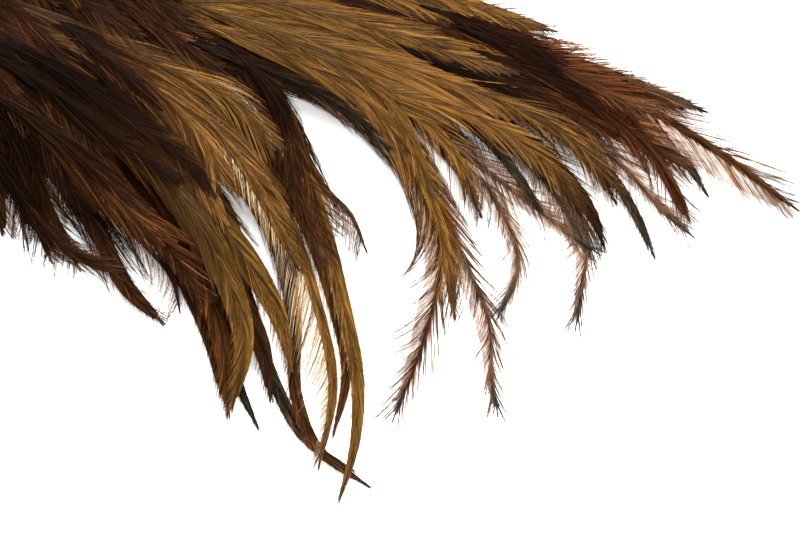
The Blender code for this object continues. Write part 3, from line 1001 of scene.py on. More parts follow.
@dataclass
class Ground:
    """The height of what lies at each place, softened as feathers lie over an edge.

    Args:
        corner: The grid's lowest corner on the plan.
        cell: The distance between its places.
        cells: How many places it has along each side.
        softness: How many cells around each are averaged.
    """

    corner: tuple[float, float] = (-0.08, -0.19)
    cell: float = 1.5 * MM
    cells: tuple[int, int] = (240, 180)
    softness: int = 4

    def __post_init__(self) -> None:
        """Measure the solids."""
        points: list[tuple[float, float, float]] = []
        faces: list[tuple[int, ...]] = []
        for node in frame["nodes"].values():
            start = len(points)
            points.extend(vert.co[:] for vert in node.data.vertices)
            faces.extend(tuple(start + k for k in face.vertices) for face in node.data.polygons)
        tree = BVHTree.FromPolygons(points, faces)
        top = np.zeros(self.cells)
        down = Vector((0.0, 0.0, -1.0))
        for i in range(self.cells[0]):
            x = self.corner[0] + i * self.cell
            for j in range(self.cells[1]):
                y = self.corner[1] + j * self.cell
                hit = tree.ray_cast(Vector((x, y, 1.0)), down)[0]
                top[i, j] = hit.z if hit else 0.0
        self.top = np.maximum(self.blur(top, self.softness), 0.85 * top)
        self.top = self.blur(self.top, 1)

    @staticmethod
    def blur(heights: np.ndarray, radius: int) -> np.ndarray:
        """Return the heights, each the mean of those around it, taken twice over.

        Args:
            heights: The heights, cell by cell.
            radius: How many cells around.

        Returns:
            The softened heights.
        """
        for axis in (0, 1, 0, 1):
            shifted = [np.roll(heights, step, axis) for step in range(-radius, radius + 1)]
            heights = np.mean(shifted, axis=0)
        return heights

    def heights(self, places: np.ndarray) -> np.ndarray:
        """Return the heights at places on the plan.

        Args:
            places: The places, with their two coordinates last.

        Returns:
            A height for each.
        """
        at = (places - np.array(self.corner)) / self.cell
        low = np.clip(np.floor(at).astype(int), 0, np.array(self.cells) - 2)
        part = np.clip(at - low, 0.0, 1.0)
        i, j = low[..., 0], low[..., 1]
        u, w = part[..., 0], part[..., 1]
        near = self.top[i, j] * (1 - u) + self.top[i + 1, j] * u
        far = self.top[i, j + 1] * (1 - u) + self.top[i + 1, j + 1] * u
        return near * (1 - w) + far * w


@dataclass
class BarbRow:
    """Barbs of one sort on one side of a feather, as one array for each measure.

    Args:
        s: Lengths along the shaft where they leave it.
        aside: How far out their ends are.
        ahead: How far ahead of their roots their ends are.
        lead: How they bow: above 1 a barb leaves the shaft quickly and then lies along it, below
            1 it leaves slowly and stands out at its end.
        centre: The middle of the bundle that each belongs to, as a length along the shaft.
        pull: How far its end is drawn to that middle, from 0 to 1.
        lift: How far its end stands above the feather's surface.
        roll: How far it is turned about its own line, in radians.
        sway: How far its middle bends outwards.
        wide: Its width at the root.
        tone: How light it is, from 0 to 1.
    """

    s: np.ndarray
    aside: np.ndarray
    ahead: np.ndarray
    lead: np.ndarray
    centre: np.ndarray
    pull: np.ndarray
    lift: np.ndarray
    roll: np.ndarray
    sway: np.ndarray
    wide: np.ndarray
    tone: np.ndarray


@dataclass
class Feather:
    """One feather: a tapered shaft, a sleek band of barbs beside it, and long free barbs.

    Args:
        width: Its full width.
        kind: Its kind, which gives its finish.
        quill: Its line.
        full_at: The fraction of its length where its barbs reach their full length.
        seed: Where its random numbers start.
        spread: How its barbs stand.
        tones: How light it is near its root, in its middle and near its tip.
        opens: The fraction of its length where its free barbs part.
        band_pitch: Distance between two barbs of the band on one side.
        web_pitch: Distance between two barbs of the web.
        closed_rake: The rake of the free barbs before they part.
        closed_reach: Their reach before they part, as a share of the feather's half-width.
        bundle: The fewest and the most free barbs that cling together.
        shaft_radius: Radius of the shaft at its root.
        crown: How far the band's middle stands above its edges.
        root_half: Reach of the barbs at the root.
        tip_half: Their reach at the tip.
        root_band: Half-width of the band at the root.
        lanes: How many lanes of streaks the band has on each side.
        inmost: How far out the band's innermost barbs end, as a share of its half-width.
        band_rake: The least and greatest rake of the band's barbs.
        streak: Length of a streak.
        contrast: How much the streaks differ in tone.
        dark_streaks: The share of the streaks that are dark.
        dark_by: How much darker those are.
        painted_edge_shade: How much darker the band's edge is painted, as painted shade.
        painted_glint_share: The share of the band's barbs that get a painted highlight.
        painted_glint_tone: How much lighter that painted highlight makes them.
        band_wide: The least and greatest width of the band's barbs, in millimetres.
        free_wide: The same of the free barbs.
        web_wide: The same of the web's barbs.
        bare: The fraction of the length at the root that has no barbs.
        ground: What it lies on, where it has no solid of its own.
        layer: How far above that it lies.
    """

    width: float
    kind: Kind
    quill: Quill
    full_at: float
    seed: int
    spread: Spread
    tones: Tones = (0.4, 0.5, 0.55)
    opens: float = 0.45
    band_pitch: float = 0.44 * MM
    web_pitch: float = 0.35 * MM
    closed_rake: float = 6.0
    closed_reach: float = 0.55
    bundle: tuple[int, int] = (1, 5)
    shaft_radius: float = 0.3 * MM
    crown: float = 0.6 * MM
    root_half: float = 1.0 * MM
    tip_half: float = 1.5 * MM
    root_band: float = 0.6 * MM
    lanes: int = 7
    inmost: float = 0.12
    band_rake: tuple[float, float] = (4.0, 7.0)
    streak: float = 18.0 * MM
    contrast: float = 0.34
    dark_streaks: float = 0.25
    dark_by: float = 0.45
    painted_edge_shade: float = 0.42
    painted_glint_share: float = 0.04
    painted_glint_tone: float = 0.4
    band_wide: tuple[float, float] = (0.14, 0.24)
    free_wide: tuple[float, float] = (0.12, 0.21)
    web_wide: tuple[float, float] = (0.1, 0.16)
    bare: float = 0.03
    ground: Ground | None = None
    layer: float = 0.0

    def half_width(self, t: np.ndarray) -> np.ndarray:
        """Return the reach of the longest barbs.

        Args:
            t: Fractions of the feather's length.

        Returns:
            The reach at each.
        """
        grow = smooth_step(t / self.full_at)
        start, end = self.spread.taper
        thin = np.clip((t - start) / (end - start), 0.0, 1.0)
        half = self.root_half + (0.5 * self.width - self.root_half) * grow
        return self.tip_half + (half - self.tip_half) * (1.0 - thin ** 1.5)

    def band_width(self, t: np.ndarray) -> np.ndarray:
        """Return the half-width of the sleek band, which ends in a narrow blade.

        Args:
            t: Fractions of the feather's length.

        Returns:
            The half-width at each.
        """
        grow = smooth_step(t / self.full_at)
        ends = smooth_step((t - self.opens) / 0.3)
        wide = self.spread.band + (self.spread.band_end - self.spread.band) * ends
        point = np.clip((t - self.spread.point) / (1.0 - self.spread.point), 0.0, 1.0)
        wide = self.root_band + (wide - self.root_band) * grow
        return 0.2 * MM + wide * (1.0 - 0.9 * point ** 1.8)

    def tone_at(self, t: np.ndarray) -> np.ndarray:
        """Return how light the feather is at fractions of its length."""
        return np.interp(t, (0.15, 0.55, 0.95), self.tones)

    def surface(self, s: np.ndarray, plan: np.ndarray, across: np.ndarray,
                crown: float) -> np.ndarray:
        """Return the height of the feather's surface.

        Args:
            s: Lengths along the shaft.
            plan: The places, with their two coordinates last.
            across: How far aside of the shaft each is.
            crown: How far the band's middle stands above its edges.

        Returns:
            A height for each.
        """
        if self.ground is None:
            low, high = self.quill.heights(s)
        else:
            low = self.ground.heights(plan) + self.layer
            high = low + 0.5 * MM
        t = np.clip(s / self.quill.length, 0.0, 1.0)
        out = np.clip(across / self.half_width(t), 0.0, 1.0)
        near = np.clip(across / self.band_width(t), 0.0, 1.0)
        return low + (high - low) * (1.0 - out) + crown * np.sqrt(1.0 - near ** 2)

    def places(self, pitch: float, to: float, rng: np.random.Generator) -> np.ndarray:
        """Return where barbs leave the shaft, as lengths along it.

        Args:
            pitch: Their mean distance.
            to: The fraction of the feather's length where they end.
            rng: Source of the unevenness.

        Returns:
            The lengths.
        """
        s = np.arange(self.bare * self.quill.length, to * self.quill.length, pitch)
        return s + rng.uniform(-0.45, 0.45, len(s)) * pitch

    def bundles(self, count: int, rng: np.random.Generator) -> np.ndarray:
        """Return the number of the bundle that each barb belongs to.

        Args:
            count: How many barbs there are.
            rng: Source of the sizes.

        Returns:
            A number for each barb.
        """
        least, most = self.bundle
        sizes = rng.integers(least, most + 1, count)
        return np.repeat(np.arange(count), sizes)[:count]

    def band_row(self, rng: np.random.Generator) -> BarbRow:
        """Return one side's barbs that lie close along the shaft.

        Args:
            rng: Source of the unevenness.

        Returns:
            The barbs.
        """
        s = self.places(self.band_pitch, 0.985, rng)
        count = len(s)
        t = s / self.quill.length
        lane = rng.integers(0, self.lanes, count)
        lane_share = (lane + rng.uniform(0.0, 1.0, count)) / self.lanes
        share = self.inmost + (1.0 - self.inmost) * lane_share
        rake = rng.uniform(*self.band_rake, count)
        ahead = self.band_width(t) * share * rake + 2.5 * MM
        ahead = np.minimum(ahead, np.maximum(self.quill.length - s, 0.0) + 0.8 * MM)
        aside = self.band_width(np.clip(t + ahead / self.quill.length, 0.0, 1.0)) * share
        blocks = (s / self.streak + 0.37 * lane).astype(int)
        size = (self.lanes, int(blocks.max()) + 1)
        streaks = rng.normal(0.05, self.contrast, size)
        dark = rng.uniform(0.0, 1.0, size) < self.dark_streaks
        streaks = streaks - np.where(dark, self.dark_by, 0.0)
        tone = self.tone_at(t) + streaks[lane, blocks] + rng.normal(0.0, 0.2, count)
        # Painted shade: the band's outer barbs are darkened, for the shade where its crown falls
        # away and between feathers.
        tone = tone + 0.08 - self.painted_edge_shade * share ** 5
        # Painted highlight: a few of the band's barbs are made lighter, as if they caught the
        # light.
        painted_glint_mask = rng.uniform(0.0, 1.0, count) < self.painted_glint_share
        tone = tone + np.where(painted_glint_mask, self.painted_glint_tone, 0.0)
        return BarbRow(s, aside, ahead, np.full(count, 1.7), s, np.zeros(count),
                       rng.normal(0.0, 0.12, count) * MM, rng.normal(0.0, 0.22, count),
                       rng.normal(0.0, 0.1, count) * MM,
                       rng.uniform(*self.band_wide, count) * MM, tone)

    def free_row(self, side: float, rng: np.random.Generator) -> BarbRow:
        """Return one side's long free barbs.

        Args:
            side: 1 for the left side, -1 for the right.
            rng: Source of the unevenness.

        Returns:
            The barbs.
        """
        reach = self.spread.left if side > 0.0 else self.spread.right
        s = self.places(self.spread.pitch, 0.975, rng)
        if reach < LEAST_REACH:
            s = s[s < self.opens * self.quill.length]
        count = len(s)
        bundle = self.bundles(count, rng)
        t = s / self.quill.length
        centre = (np.bincount(bundle, weights=s) / np.maximum(np.bincount(bundle), 1))[bundle]
        parted = smooth_step((t - self.opens) / 0.25)
        share = self.closed_reach + (reach - self.closed_reach) * parted
        share = share * rng.normal(1.0, 0.1, count)[bundle]
        share = share * rng.normal(1.0, 0.07, count)
        aside = self.half_width(t) * np.clip(share, 0.15, 1.5)
        rake = self.spread.rake_left if side > 0.0 else self.spread.rake_right
        rake = rake * rng.normal(1.0, 0.1, count)[bundle]
        rake = self.closed_rake + (rake - self.closed_rake) * parted
        rake = rake + (3.0 - rake) * smooth_step((t - 0.86) / 0.1)
        lead = 1.5 + (self.spread.flare * rng.normal(1.0, 0.2, count)[bundle] - 1.5) * parted
        pull = (0.5 + 0.35 * parted) * rng.uniform(0.4, 1.1, count)[bundle]
        tone = self.tone_at(t) - 0.06 + rng.normal(0.0, 0.3, count)[bundle]
        tone = tone + rng.normal(0.0, 0.1, count)
        lift = rng.normal(0.0, 0.35, count)[bundle] + rng.normal(0.0, 0.15, count)
        ahead = np.minimum(aside * rake + 2.0 * MM, self.quill.length - s + 2.5 * MM)
        return BarbRow(s, aside, ahead, lead, centre, pull, lift * MM,
                       rng.normal(0.0, 0.5, count), rng.normal(0.0, 0.35, count) * MM,
                       rng.uniform(*self.free_wide, count) * self.spread.coarse * MM, tone)

    def web_row(self, side: float, rng: np.random.Generator) -> BarbRow:
        """Return one side's short pale barbs, in the tip half.

        Args:
            side: 1 for the left side, -1 for the right.
            rng: Source of the unevenness.

        Returns:
            The barbs.
        """
        s = self.places(self.web_pitch, 0.97, rng)
        s = s[s > (self.opens - 0.1) * self.quill.length]
        count = len(s)
        t = s / self.quill.length
        share = rng.uniform(0.35, 1.0, count)
        share = share * (ONE_SIDED_LEFT if side > 0.0 and self.spread.one_sided else 1.0)
        aside = self.web_width(t) * share
        ahead = aside * self.spread.web_rake * rng.uniform(0.85, 1.2, count) + 1.0 * MM
        tone = WEB_TONE + rng.normal(0.0, 0.12, count)
        return BarbRow(s, aside, ahead, np.full(count, 1.3), s, np.zeros(count),
                       rng.normal(0.0, 0.05, count) * MM, rng.normal(0.0, 0.2, count),
                       np.zeros(count), rng.uniform(*self.web_wide, count) * MM, tone)

    def lay(self, row: BarbRow, side: float, sort: Barb,
            v: np.ndarray) -> tuple[np.ndarray, np.ndarray]:
        """Return the middle lines of a row of barbs.

        Args:
            row: The barbs' measures.
            side: 1 for the left side, -1 for the right.
            sort: Their sort; the band and the free barbs lie over the feather's crown.
            v: The fractions of a barb's length at which its line is wanted.

        Returns:
            Places on the lines, and how far across the band each is, from 0 to 1.
        """
        lead = row.lead[:, None]
        across = row.aside[:, None] * (lead * v + (1.0 - lead) * v ** 2)
        gather = row.pull[:, None] * (row.s - row.centre)[:, None] * v ** 1.4
        along = row.s[:, None] + row.ahead[:, None] * v - gather
        across = across + row.sway[:, None] * np.sin(math.pi * v) * v
        across = np.maximum(across, 0.0)
        place, left = self.quill.at(along)
        plan = place + side * across[..., None] * left
        crown = 0.0 if sort is Barb.WEB else self.crown
        height = self.surface(along, plan, across, crown) + row.lift[:, None] * v ** 1.3
        t = np.clip(along / self.quill.length, 0.0, 1.0)
        near = np.clip(across / self.band_width(t), 0.0, 1.0)
        return np.concatenate([plan, height[..., None]], axis=-1), near

    def add_barbs(self, heap: Heap, ribbon: Template, row: BarbRow, side: float,
                  sort: Barb) -> None:
        """Add a row of barbs.

        Args:
            heap: Where they are gathered.
            ribbon: The barb's template.
            row: The barbs' measures.
            side: 1 for the left side, -1 for the right.
            sort: Their sort, which settles how they lie and where their colour is.
        """
        v = np.unique(np.round(ribbon.points[:, 1], 6))
        spine, near = self.lay(row, side, sort, v)
        course = np.gradient(spine, axis=1)
        course /= np.linalg.norm(course, axis=-1)[..., None]
        flat = np.stack([-course[..., 1], course[..., 0], np.zeros_like(near)], axis=-1)
        flat /= np.linalg.norm(flat, axis=-1)[..., None]
        normal = np.cross(course, flat)
        roll = row.roll[:, None]
        if sort is Barb.BAND:
            roll = roll - side * 0.8 * near
        turned = flat * np.cos(roll)[..., None] + normal * np.sin(roll)[..., None]
        thin = 1.0 - 0.7 * v ** 2
        wide = 0.5 * row.wide[:, None] * thin
        index = np.searchsorted(v, np.round(ribbon.points[:, 1], 6))
        edge = ribbon.points[:, 0]
        points = spine[:, index] + turned[:, index] * (wide[:, index] * edge)[..., None]
        points[..., 2] = np.maximum(points[..., 2], 0.04 * MM)
        u = column(row.tone[:, None], (row.s / self.quill.length)[:, None] + 0.011 * edge)
        reached = near[:, index] if sort is Barb.BAND else np.broadcast_to(v[index], u.shape)
        heap.add(points, np.stack([u, sort.height(reached)], axis=-1), ribbon)

    def web_width(self, t: np.ndarray) -> np.ndarray:
        """Return how far the pale web reaches at fractions of the feather's length."""
        point = np.clip((t - self.spread.taper[0] - 0.08) / 0.12, 0.0, 1.0)
        return 0.3 * MM + self.spread.web * (1.0 - 0.75 * point)

    def add_sheet(self, heap: Heap, sheet: Template, sort: Barb, start: float,
                  sections: int) -> None:
        """Add the closed part of the band or the web, on which the barbs lie.

        Args:
            heap: Where it is gathered.
            sheet: The template of one length of it.
            sort: Which of the two it is.
            start: The fraction of the feather's length where it starts.
            sections: How many lengths it has.
        """
        x = sheet.points[:, 0]
        steps = np.arange(sections)[:, None] + sheet.points[None, :, 1]
        t = start + (SHEETS_TO - start) * steps / sections
        s = t * self.quill.length
        place, left = self.quill.at(s)
        if sort is Barb.BAND:
            across = 0.85 * self.band_width(t) * x
            middles = (SHEETS_TO - start) * (np.arange(sections) + 0.5) / sections
            # The band's sheet is painted 0.28 darker in tone than its barbs: painted shade in the
            # gaps between them.
            tone, crown, below = self.tone_at(start + middles) - 0.28, self.crown, 0.12 * MM
        else:
            left_share = ONE_SIDED_LEFT if self.spread.one_sided else 1.0
            across = 0.8 * self.web_width(t) * x * np.where(x > 0.0, left_share, 1.0)
            across = across * smooth_step((t - start) / 0.15)
            tone, crown, below = np.full(sections, WEB_TONE), 0.0, 0.25 * MM
        plan = place + across[..., None] * left
        height = self.surface(s, plan, np.abs(across), crown) - below
        height = np.maximum(height, 0.05 * MM)
        u = column(tone[:, None], t)
        reached = np.abs(x) if sort is Barb.BAND else np.full(len(x), 0.05)
        w = np.broadcast_to(sort.height(reached), u.shape)
        points = np.concatenate([plan, height[..., None]], axis=-1)
        heap.add(points, np.stack([u, w], axis=-1), sheet)

    def add_shaft(self, heap: Heap, tube: Template) -> None:
        """Add the shaft.

        Args:
            heap: Where it is gathered.
            tube: The shaft's template.
        """
        t = tube.points[:, 2]
        s = t * self.quill.length
        place, left = self.quill.at(s)
        high = self.surface(s, place, np.zeros_like(s), self.crown)
        radius = self.shaft_radius * (1.0 - t) ** 0.6 + 0.07 * MM
        out = tube.points[:, 0] * radius
        up = tube.points[:, 1] * radius
        plan = place + left * out[:, None]
        height = np.maximum(high - 0.1 * MM + up, 0.04 * MM)
        points = np.concatenate([plan, height[:, None]], axis=-1)
        u = column(self.tones[1], np.clip(t, 0.02, 0.98))
        w = 0.03 + 0.02 * tube.points[:, 0]
        heap.add(points[None], np.stack([u, w], axis=-1)[None], tube)

    def add_to(self, heap: Heap, long: Template, short: Template) -> None:
        """Add the whole feather.

        Args:
            heap: Where it is gathered.
            long: The free barbs' template.
            short: The template of the band's and the web's barbs.
        """
        self.add_shaft(heap, Template.tube(5, max(8, int(self.quill.length / (5.0 * MM)))))
        sheet = Template.ribbon(5, 4)
        self.add_sheet(heap, sheet, Barb.BAND, self.bare, 6)
        if self.spread.web > 0.0 and self.spread.veiled:
            self.add_sheet(heap, sheet, Barb.WEB, self.opens - 0.1, 3)
        for side in (1.0, -1.0):
            rng = np.random.default_rng(self.seed + (7 if side > 0 else 0))
            self.add_barbs(heap, short, self.band_row(rng), side, Barb.BAND)
            self.add_barbs(heap, long, self.free_row(side, rng), side, Barb.FREE)
            if self.spread.web > 0.0:
                self.add_barbs(heap, short, self.web_row(side, rng), side, Barb.WEB)


@dataclass
class FeatherGroup:
    """The feathers of one group, each in place of its solid.

    Args:
        prefix: The start of the solids' names.
        rows: The feathers.
        full_at: The fraction of their length where the solids reach their full width.
        seed: Where their random numbers start, in thousands.
        materials: The finishes.
        barb_lengths: How many faces a free barb has along it.
        sooner: How much sooner than the solids the barbs reach their full length.
    """

    prefix: str
    rows: tuple[FeatherRow, ...]
    full_at: float
    seed: int
    materials: dict[Kind, bpy.types.Material]
    barb_lengths: int = 4
    sooner: float = 0.7

    def build(self) -> list[Feather]:
        """Make the group's pieces and let each replace its solid.

        Returns:
            The feathers, for those that lie beside them.
        """
        long = Template.ribbon(self.barb_lengths)
        short = Template.ribbon(3)
        feathers = []
        for number, (width, name, points) in enumerate(self.rows, start=1):
            node = f"{self.prefix}_{number:02d}"
            kind = Kind(name)
            quill = Quill.through(points)
            quill.measure(frame["nodes"][node])
            tones = TONES_ALONG.get(node, KIND_TONES[kind])
            spread = SPREAD_OF.get(node, SPREADS[kind])
            feather = Feather(width * MM, kind, quill, self.sooner * self.full_at,
                              self.seed * 1000 + number * 10, spread, tones=tones)
            heap = Heap()
            feather.add_to(heap, long, short)
            piece = heap.piece(f"{node}_barbs", self.materials[kind])
            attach(piece, BODY)
            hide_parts(node)
            LOG.info("%s: %d points", piece.name, heap.count)
            feathers.append(feather)
        return feathers


@dataclass
class LooseLayer:
    """Feathers without a solid of their own, joined in one piece for each kind.

    Args:
        name: The start of the pieces' names.
        materials: The finishes.
        heaps: What is gathered of each kind.
    """

    name: str
    materials: dict[Kind, bpy.types.Material]
    heaps: dict[Kind, Heap] = field(default_factory=dict)

    def add(self, feather: Feather) -> None:
        """Gather a feather with those of its kind.

        Args:
            feather: The feather.
        """
        heap = self.heaps.setdefault(feather.kind, Heap())
        feather.add_to(heap, Template.ribbon(3), Template.ribbon(3))

    def finish(self) -> None:
        """Make the pieces."""
        for kind, heap in self.heaps.items():
            piece = heap.piece(f"{self.name}_{kind.value}", self.materials[kind])
            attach(piece, BODY)
            LOG.info("%s: %d points", piece.name, heap.count)


@dataclass
class Companions:
    """The feathers that lie between those of a fan, each close beside one of them.

    Args:
        name: The start of the pieces' names.
        parents: The feathers that they lie beside.
        materials: The finishes.
        seed: Where their random numbers start.
        side: 1 for the parents' left, -1 for their right, 0 for the side of the fan's middle.
    """

    name: str
    parents: list[Feather]
    materials: dict[Kind, bpy.types.Material]
    seed: int
    side: float = 0.0

    @staticmethod
    def waist(parent: Feather) -> tuple[np.ndarray, np.ndarray]:
        """Return a feather's place and sideways direction at three quarters of its length."""
        place, left = parent.quill.at(np.array([0.75 * parent.quill.length]))
        return place[0], left[0]

    def build(self) -> None:
        """Lay the companions of every parent."""
        rng = np.random.default_rng(self.seed)
        layer = LooseLayer(self.name, self.materials)
        middle = np.mean([self.waist(parent)[0] for parent in self.parents], axis=0)
        for number, parent in enumerate(self.parents):
            place, left = self.waist(parent)
            side = self.side or (1.0 if float((middle - place) @ left) > 0.0 else -1.0)
            offset = side * rng.uniform(0.3, 0.6) * parent.width
            quill = parent.quill.beside(offset, rng.uniform(0.08, 0.3), rng.uniform(0.62, 0.82),
                                        side * rng.uniform(-1.0, 3.0) * MM,
                                        rng.uniform(-0.5, 0.1) * MM)
            tones = tuple(tone + rng.uniform(-0.1, 0.06) for tone in parent.tones)
            layer.add(Feather(parent.width * rng.uniform(0.7, 0.95), parent.kind, quill, 0.35,
                              self.seed * 1000 + number * 20, parent.spread, tones=tones,
                              opens=rng.uniform(0.5, 0.75)))
        layer.finish()


@dataclass
class SkinCoverts:
    """The short feathers that grow all over the skin, laid from its tail end to its front.

    Args:
        materials: The finishes.
        ground: The height of what lies under them.
        axis: The skin's direction on the plan.
        half_length: Half its length in millimetres.
        half_width: Half its width in millimetres.
        rows: How many rows they grow in.
        columns: How many the rows have, before the front ones' extra three.
        lengths: The least and greatest length of a covert, in millimetres.
        widths: The same of its width.
        uneven: How far their roots are off their rows and columns.
        step: How much higher each row lies than the one behind it.
        kinds: The kinds that they are drawn from.
        seed: Where their random numbers start.
    """

    materials: dict[Kind, bpy.types.Material]
    ground: Ground
    axis: float = math.radians(-23.0)
    half_length: float = 52.0
    half_width: float = 45.0
    rows: int = 9
    columns: int = 7
    lengths: tuple[float, float] = (52.0, 74.0)
    widths: tuple[float, float] = (15.0, 20.0)
    uneven: float = 0.06
    step: float = 0.22 * MM
    kinds: tuple[Kind, ...] = (Kind.BROWN, Kind.FURNACE, Kind.BROWN, Kind.BROWN, Kind.RED,
                               Kind.BROWN, Kind.BROWN)
    seed: int = 900

    def course(self, along: float, across: float, length: float) -> RoutePoints:
        """Return the route of the covert with its root at a place on the skin.

        Args:
            along: Place of the root along the skin, from -1 at its front to 1 at its tail.
            across: Place across it, from -1 at its lower side to 1 at its upper side.
            length: The covert's length in millimetres.

        Returns:
            Its route on the plan, in millimetres.
        """
        x = along * self.half_length
        y = across * self.half_width * (1.0 - 0.12 * max(0.0, -along))
        turn = self.axis + math.radians(20.0) * max(across, 0.0)
        turn += math.radians(48.0) * min(across, 0.0)
        place = np.array([x * math.cos(self.axis) - y * math.sin(self.axis),
                          x * math.sin(self.axis) + y * math.cos(self.axis)])
        route = [tuple(place)]
        for _ in range(3):
            place = place + np.array([math.cos(turn), math.sin(turn)]) * length / 3.0
            route.append(tuple(place))
            turn -= math.radians(5.0 + 4.0 * max(0.0, 0.3 - across))
        return tuple(route)

    def build(self) -> None:
        """Lay the coverts."""
        rng = np.random.default_rng(self.seed)
        layer = LooseLayer("skin_coverts", self.materials)
        for row in range(self.rows):
            along = 0.55 - 1.5 * row / (self.rows - 1)
            count = self.columns + row % 2 + (3 if along < -0.7 else 0)
            for column in range(count):
                across = (2.0 * (column + 0.5) / count - 1.0) * 0.97
                across += rng.uniform(-self.uneven, self.uneven)
                if along ** 2 + across ** 2 > 1.25:
                    continue
                length = rng.uniform(*self.lengths) * (1.0 + 0.42 * min(across + 0.2, 0.0))
                root = along + rng.uniform(-self.uneven, self.uneven)
                quill = Quill.through(self.course(root, across, length))
                width = rng.uniform(*self.widths) * MM
                kind = self.kinds[int(rng.integers(0, len(self.kinds)))]
                low = rng.uniform(-0.05, 0.4)
                # The coverts get a larger share of band barbs with a painted highlight.
                layer.add(Feather(width, kind, quill, 0.15, self.seed + row * 40 + column * 3,
                                  SPREADS[kind], tones=(low, low + 0.1, low), opens=0.7,
                                  band_pitch=0.5 * MM, closed_rake=3.4, painted_glint_share=0.1,
                                  ground=self.ground, layer=self.step * row))
        layer.finish()


@dataclass
class Saddle:
    """The whole object: the skin and every feather.

    Args:
        materials: The finishes.
        groups: The feathers that stand for solids, by their group.
        lowest: How far the first of the topmost feathers lies above what carries it, in
            millimetres.
        step: How much higher each of the next lies, in millimetres.
        dense: For each fan, the group, its companions' name, which feathers have one, and on
            which side.
    """

    materials: dict[Kind, bpy.types.Material] = field(default_factory=dict)
    groups: dict[str, list[Feather]] = field(default_factory=dict)
    lowest: float = 0.3
    step: float = 0.1
    dense: tuple[tuple[str, str, tuple[int, ...], float], ...] = (
        ("right_hackle", "right_fan_between", (7, 8, 9, 10, 11, 16, 17, 18, 19, 22, 24), 0.0),
        ("left_hackle", "left_fan_between", (1, 2, 3, 4, 5, 7, 10, 15, 16, 18), 1.0),
    )

    def lay_on_top(self, ground: Ground) -> None:
        """Lay the topmost feathers, which rest on all the others.

        Args:
            ground: The height of what carries them.
        """
        layer = LooseLayer("topmost", self.materials)
        for number, (width, name, tones, points) in enumerate(ON_TOP):
            kind = Kind(name)
            spread = {Kind.GOLD: SLEEK, Kind.FURNACE: EAST}.get(kind, SPREADS[kind])
            layer.add(Feather(width * MM, kind, Quill.through(points), 0.35, 5000 + number * 20,
                              spread, tones=tones, ground=ground,
                              layer=(self.lowest + self.step * number) * MM))
        layer.finish()

    def dress_skin(self) -> None:
        """Give the skin its hide finish."""
        node = frame["nodes"]["skin"]
        node.data.materials.clear()
        node.data.materials.append(HideFinish().material())
        LOG.info("skin dressed")

    def build(self) -> None:
        """Build every group of feathers."""
        for kind, finish in FINISHES.items():
            self.materials[kind] = finish.material()
        plans = (
            ("lower_flank_feather", LOWER_FLANK, 0.35),
            ("upper_flank_feather", UPPER_FLANK, 0.35),
            ("right_hackle", RIGHT_FAN, 0.55),
            ("left_hackle", LEFT_FAN, 0.5),
            ("covert_feather", COVERTS, 0.35),
        )
        for seed, (prefix, rows, full_at) in enumerate(plans, start=1):
            group = FeatherGroup(prefix, rows, full_at, seed, self.materials)
            self.groups[prefix] = group.build()
        for prefix, name, numbers, side in self.dense:
            parents = [self.groups[prefix][number - 1] for number in numbers]
            Companions(name, parents, self.materials, 70 + len(numbers), side=side).build()
        ground = Ground()
        SkinCoverts(self.materials, ground).build()
        self.lay_on_top(ground)
        self.dress_skin()


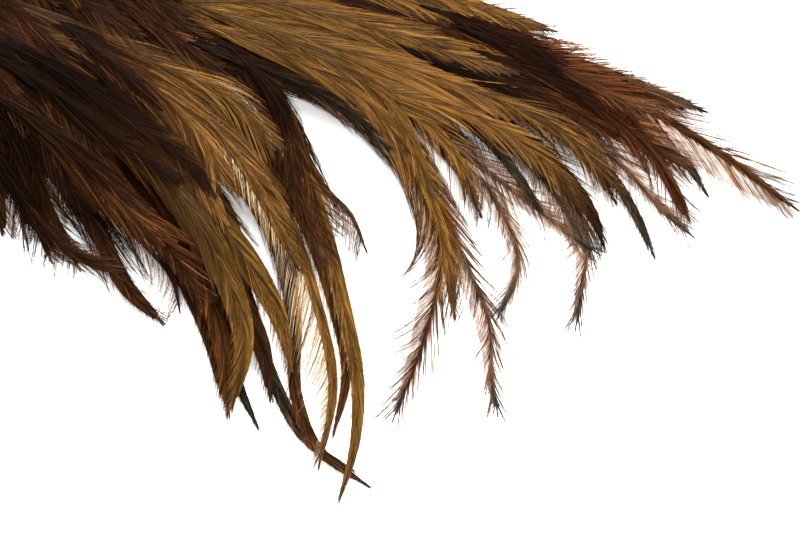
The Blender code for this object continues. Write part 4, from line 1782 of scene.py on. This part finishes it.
@dataclass
class Studio:
    """The plain floor, the soft light and the camera.

    Args:
        centre: The middle of the view on the plan.
        view_width: How much of the floor it spans.
        distance: The camera's height.
        sensor: The camera's sensor width in millimetres.
        floor_size: The floor's side.
        paper: The floor's colour.
        glow: How much it glows.
        sky: Strength of the light from all round.
        lamps: The soft lights: name, place, side, and power in watts.
    """

    centre: tuple[float, float] = (129.0 * MM, -94.95 * MM)
    view_width: float = 240.0 * MM
    distance: float = 2.0
    sensor: float = 36.0
    floor_size: float = 6.0
    paper: Colour = (0.92, 0.92, 0.91)
    glow: float = 0.35
    sky: float = 0.6
    lamps: tuple[tuple[str, Place, float, float], ...] = (
        ("key", (0.2, 0.75, 1.3), 0.9, 95.0),
        ("fill", (0.9, -0.9, 1.2), 1.2, 12.0),
    )

    def floor(self) -> None:
        """Lay the pale floor."""
        bm = bmesh.new()
        bmesh.ops.create_grid(bm, x_segments=2, y_segments=2, size=0.5 * self.floor_size)
        mesh = bpy.data.meshes.new("floor")
        bm.to_mesh(mesh)
        bm.free()
        board = NodeBoard("floor_paper")
        board.shader.inputs["Base Color"].default_value = (*self.paper, 1.0)
        board.shader.inputs["Roughness"].default_value = 0.9
        board.shader.inputs["Specular IOR Level"].default_value = 0.2
        board.shader.inputs["Emission Color"].default_value = (1.0, 1.0, 1.0, 1.0)
        board.shader.inputs["Emission Strength"].default_value = self.glow
        mesh.materials.append(board.material)
        floor = bpy.data.objects.new("floor", mesh)
        bpy.context.scene.collection.objects.link(floor)

    def lamp(self, name: str, place: Place, size: float, power: float) -> None:
        """Hang a square soft light that faces the object.

        Args:
            name: The light's name.
            place: Where it hangs.
            size: Its side.
            power: Its power in watts.
        """
        data = bpy.data.lights.new(name, "AREA")
        data.shape = "SQUARE"
        data.size = size
        data.energy = power
        lamp = bpy.data.objects.new(name, data)
        lamp.location = place
        target = Vector((self.centre[0], self.centre[1], 0.0))
        lamp.rotation_euler = (target - Vector(place)).to_track_quat("-Z", "Y").to_euler()
        bpy.context.scene.collection.objects.link(lamp)

    def camera(self) -> None:
        """Set the camera straight above the middle of the view."""
        data = bpy.data.cameras.new("camera")
        data.sensor_width = self.sensor
        data.lens = self.sensor * self.distance / self.view_width
        data.clip_end = 20.0
        camera = bpy.data.objects.new("camera", data)
        camera.location = (self.centre[0], self.centre[1], self.distance)
        bpy.context.scene.collection.objects.link(camera)
        bpy.context.scene.camera = camera

    def build(self) -> None:
        """Set up the studio."""
        self.camera()
        self.floor()
        world = bpy.data.worlds.new("studio")
        world.use_nodes = True
        background = world.node_tree.nodes["Background"]
        background.inputs[0].default_value = (1.0, 1.0, 1.0, 1.0)
        background.inputs[1].default_value = self.sky
        bpy.context.scene.world = world
        for row in self.lamps:
            self.lamp(*row)
        bpy.context.scene.view_settings.view_transform = "Standard"


def main() -> None:
    """Build the studio and the saddle."""
    logging.basicConfig(level=logging.INFO, format="%(message)s")
    Studio().build()
    Saddle().build()
    faces = sum(len(item.data.loops) - 2 * len(item.data.polygons)
                for item in bpy.data.objects if item.type == "MESH")
    LOG.info("%d triangles in all", faces)


if __name__ == "__main__":
    main()
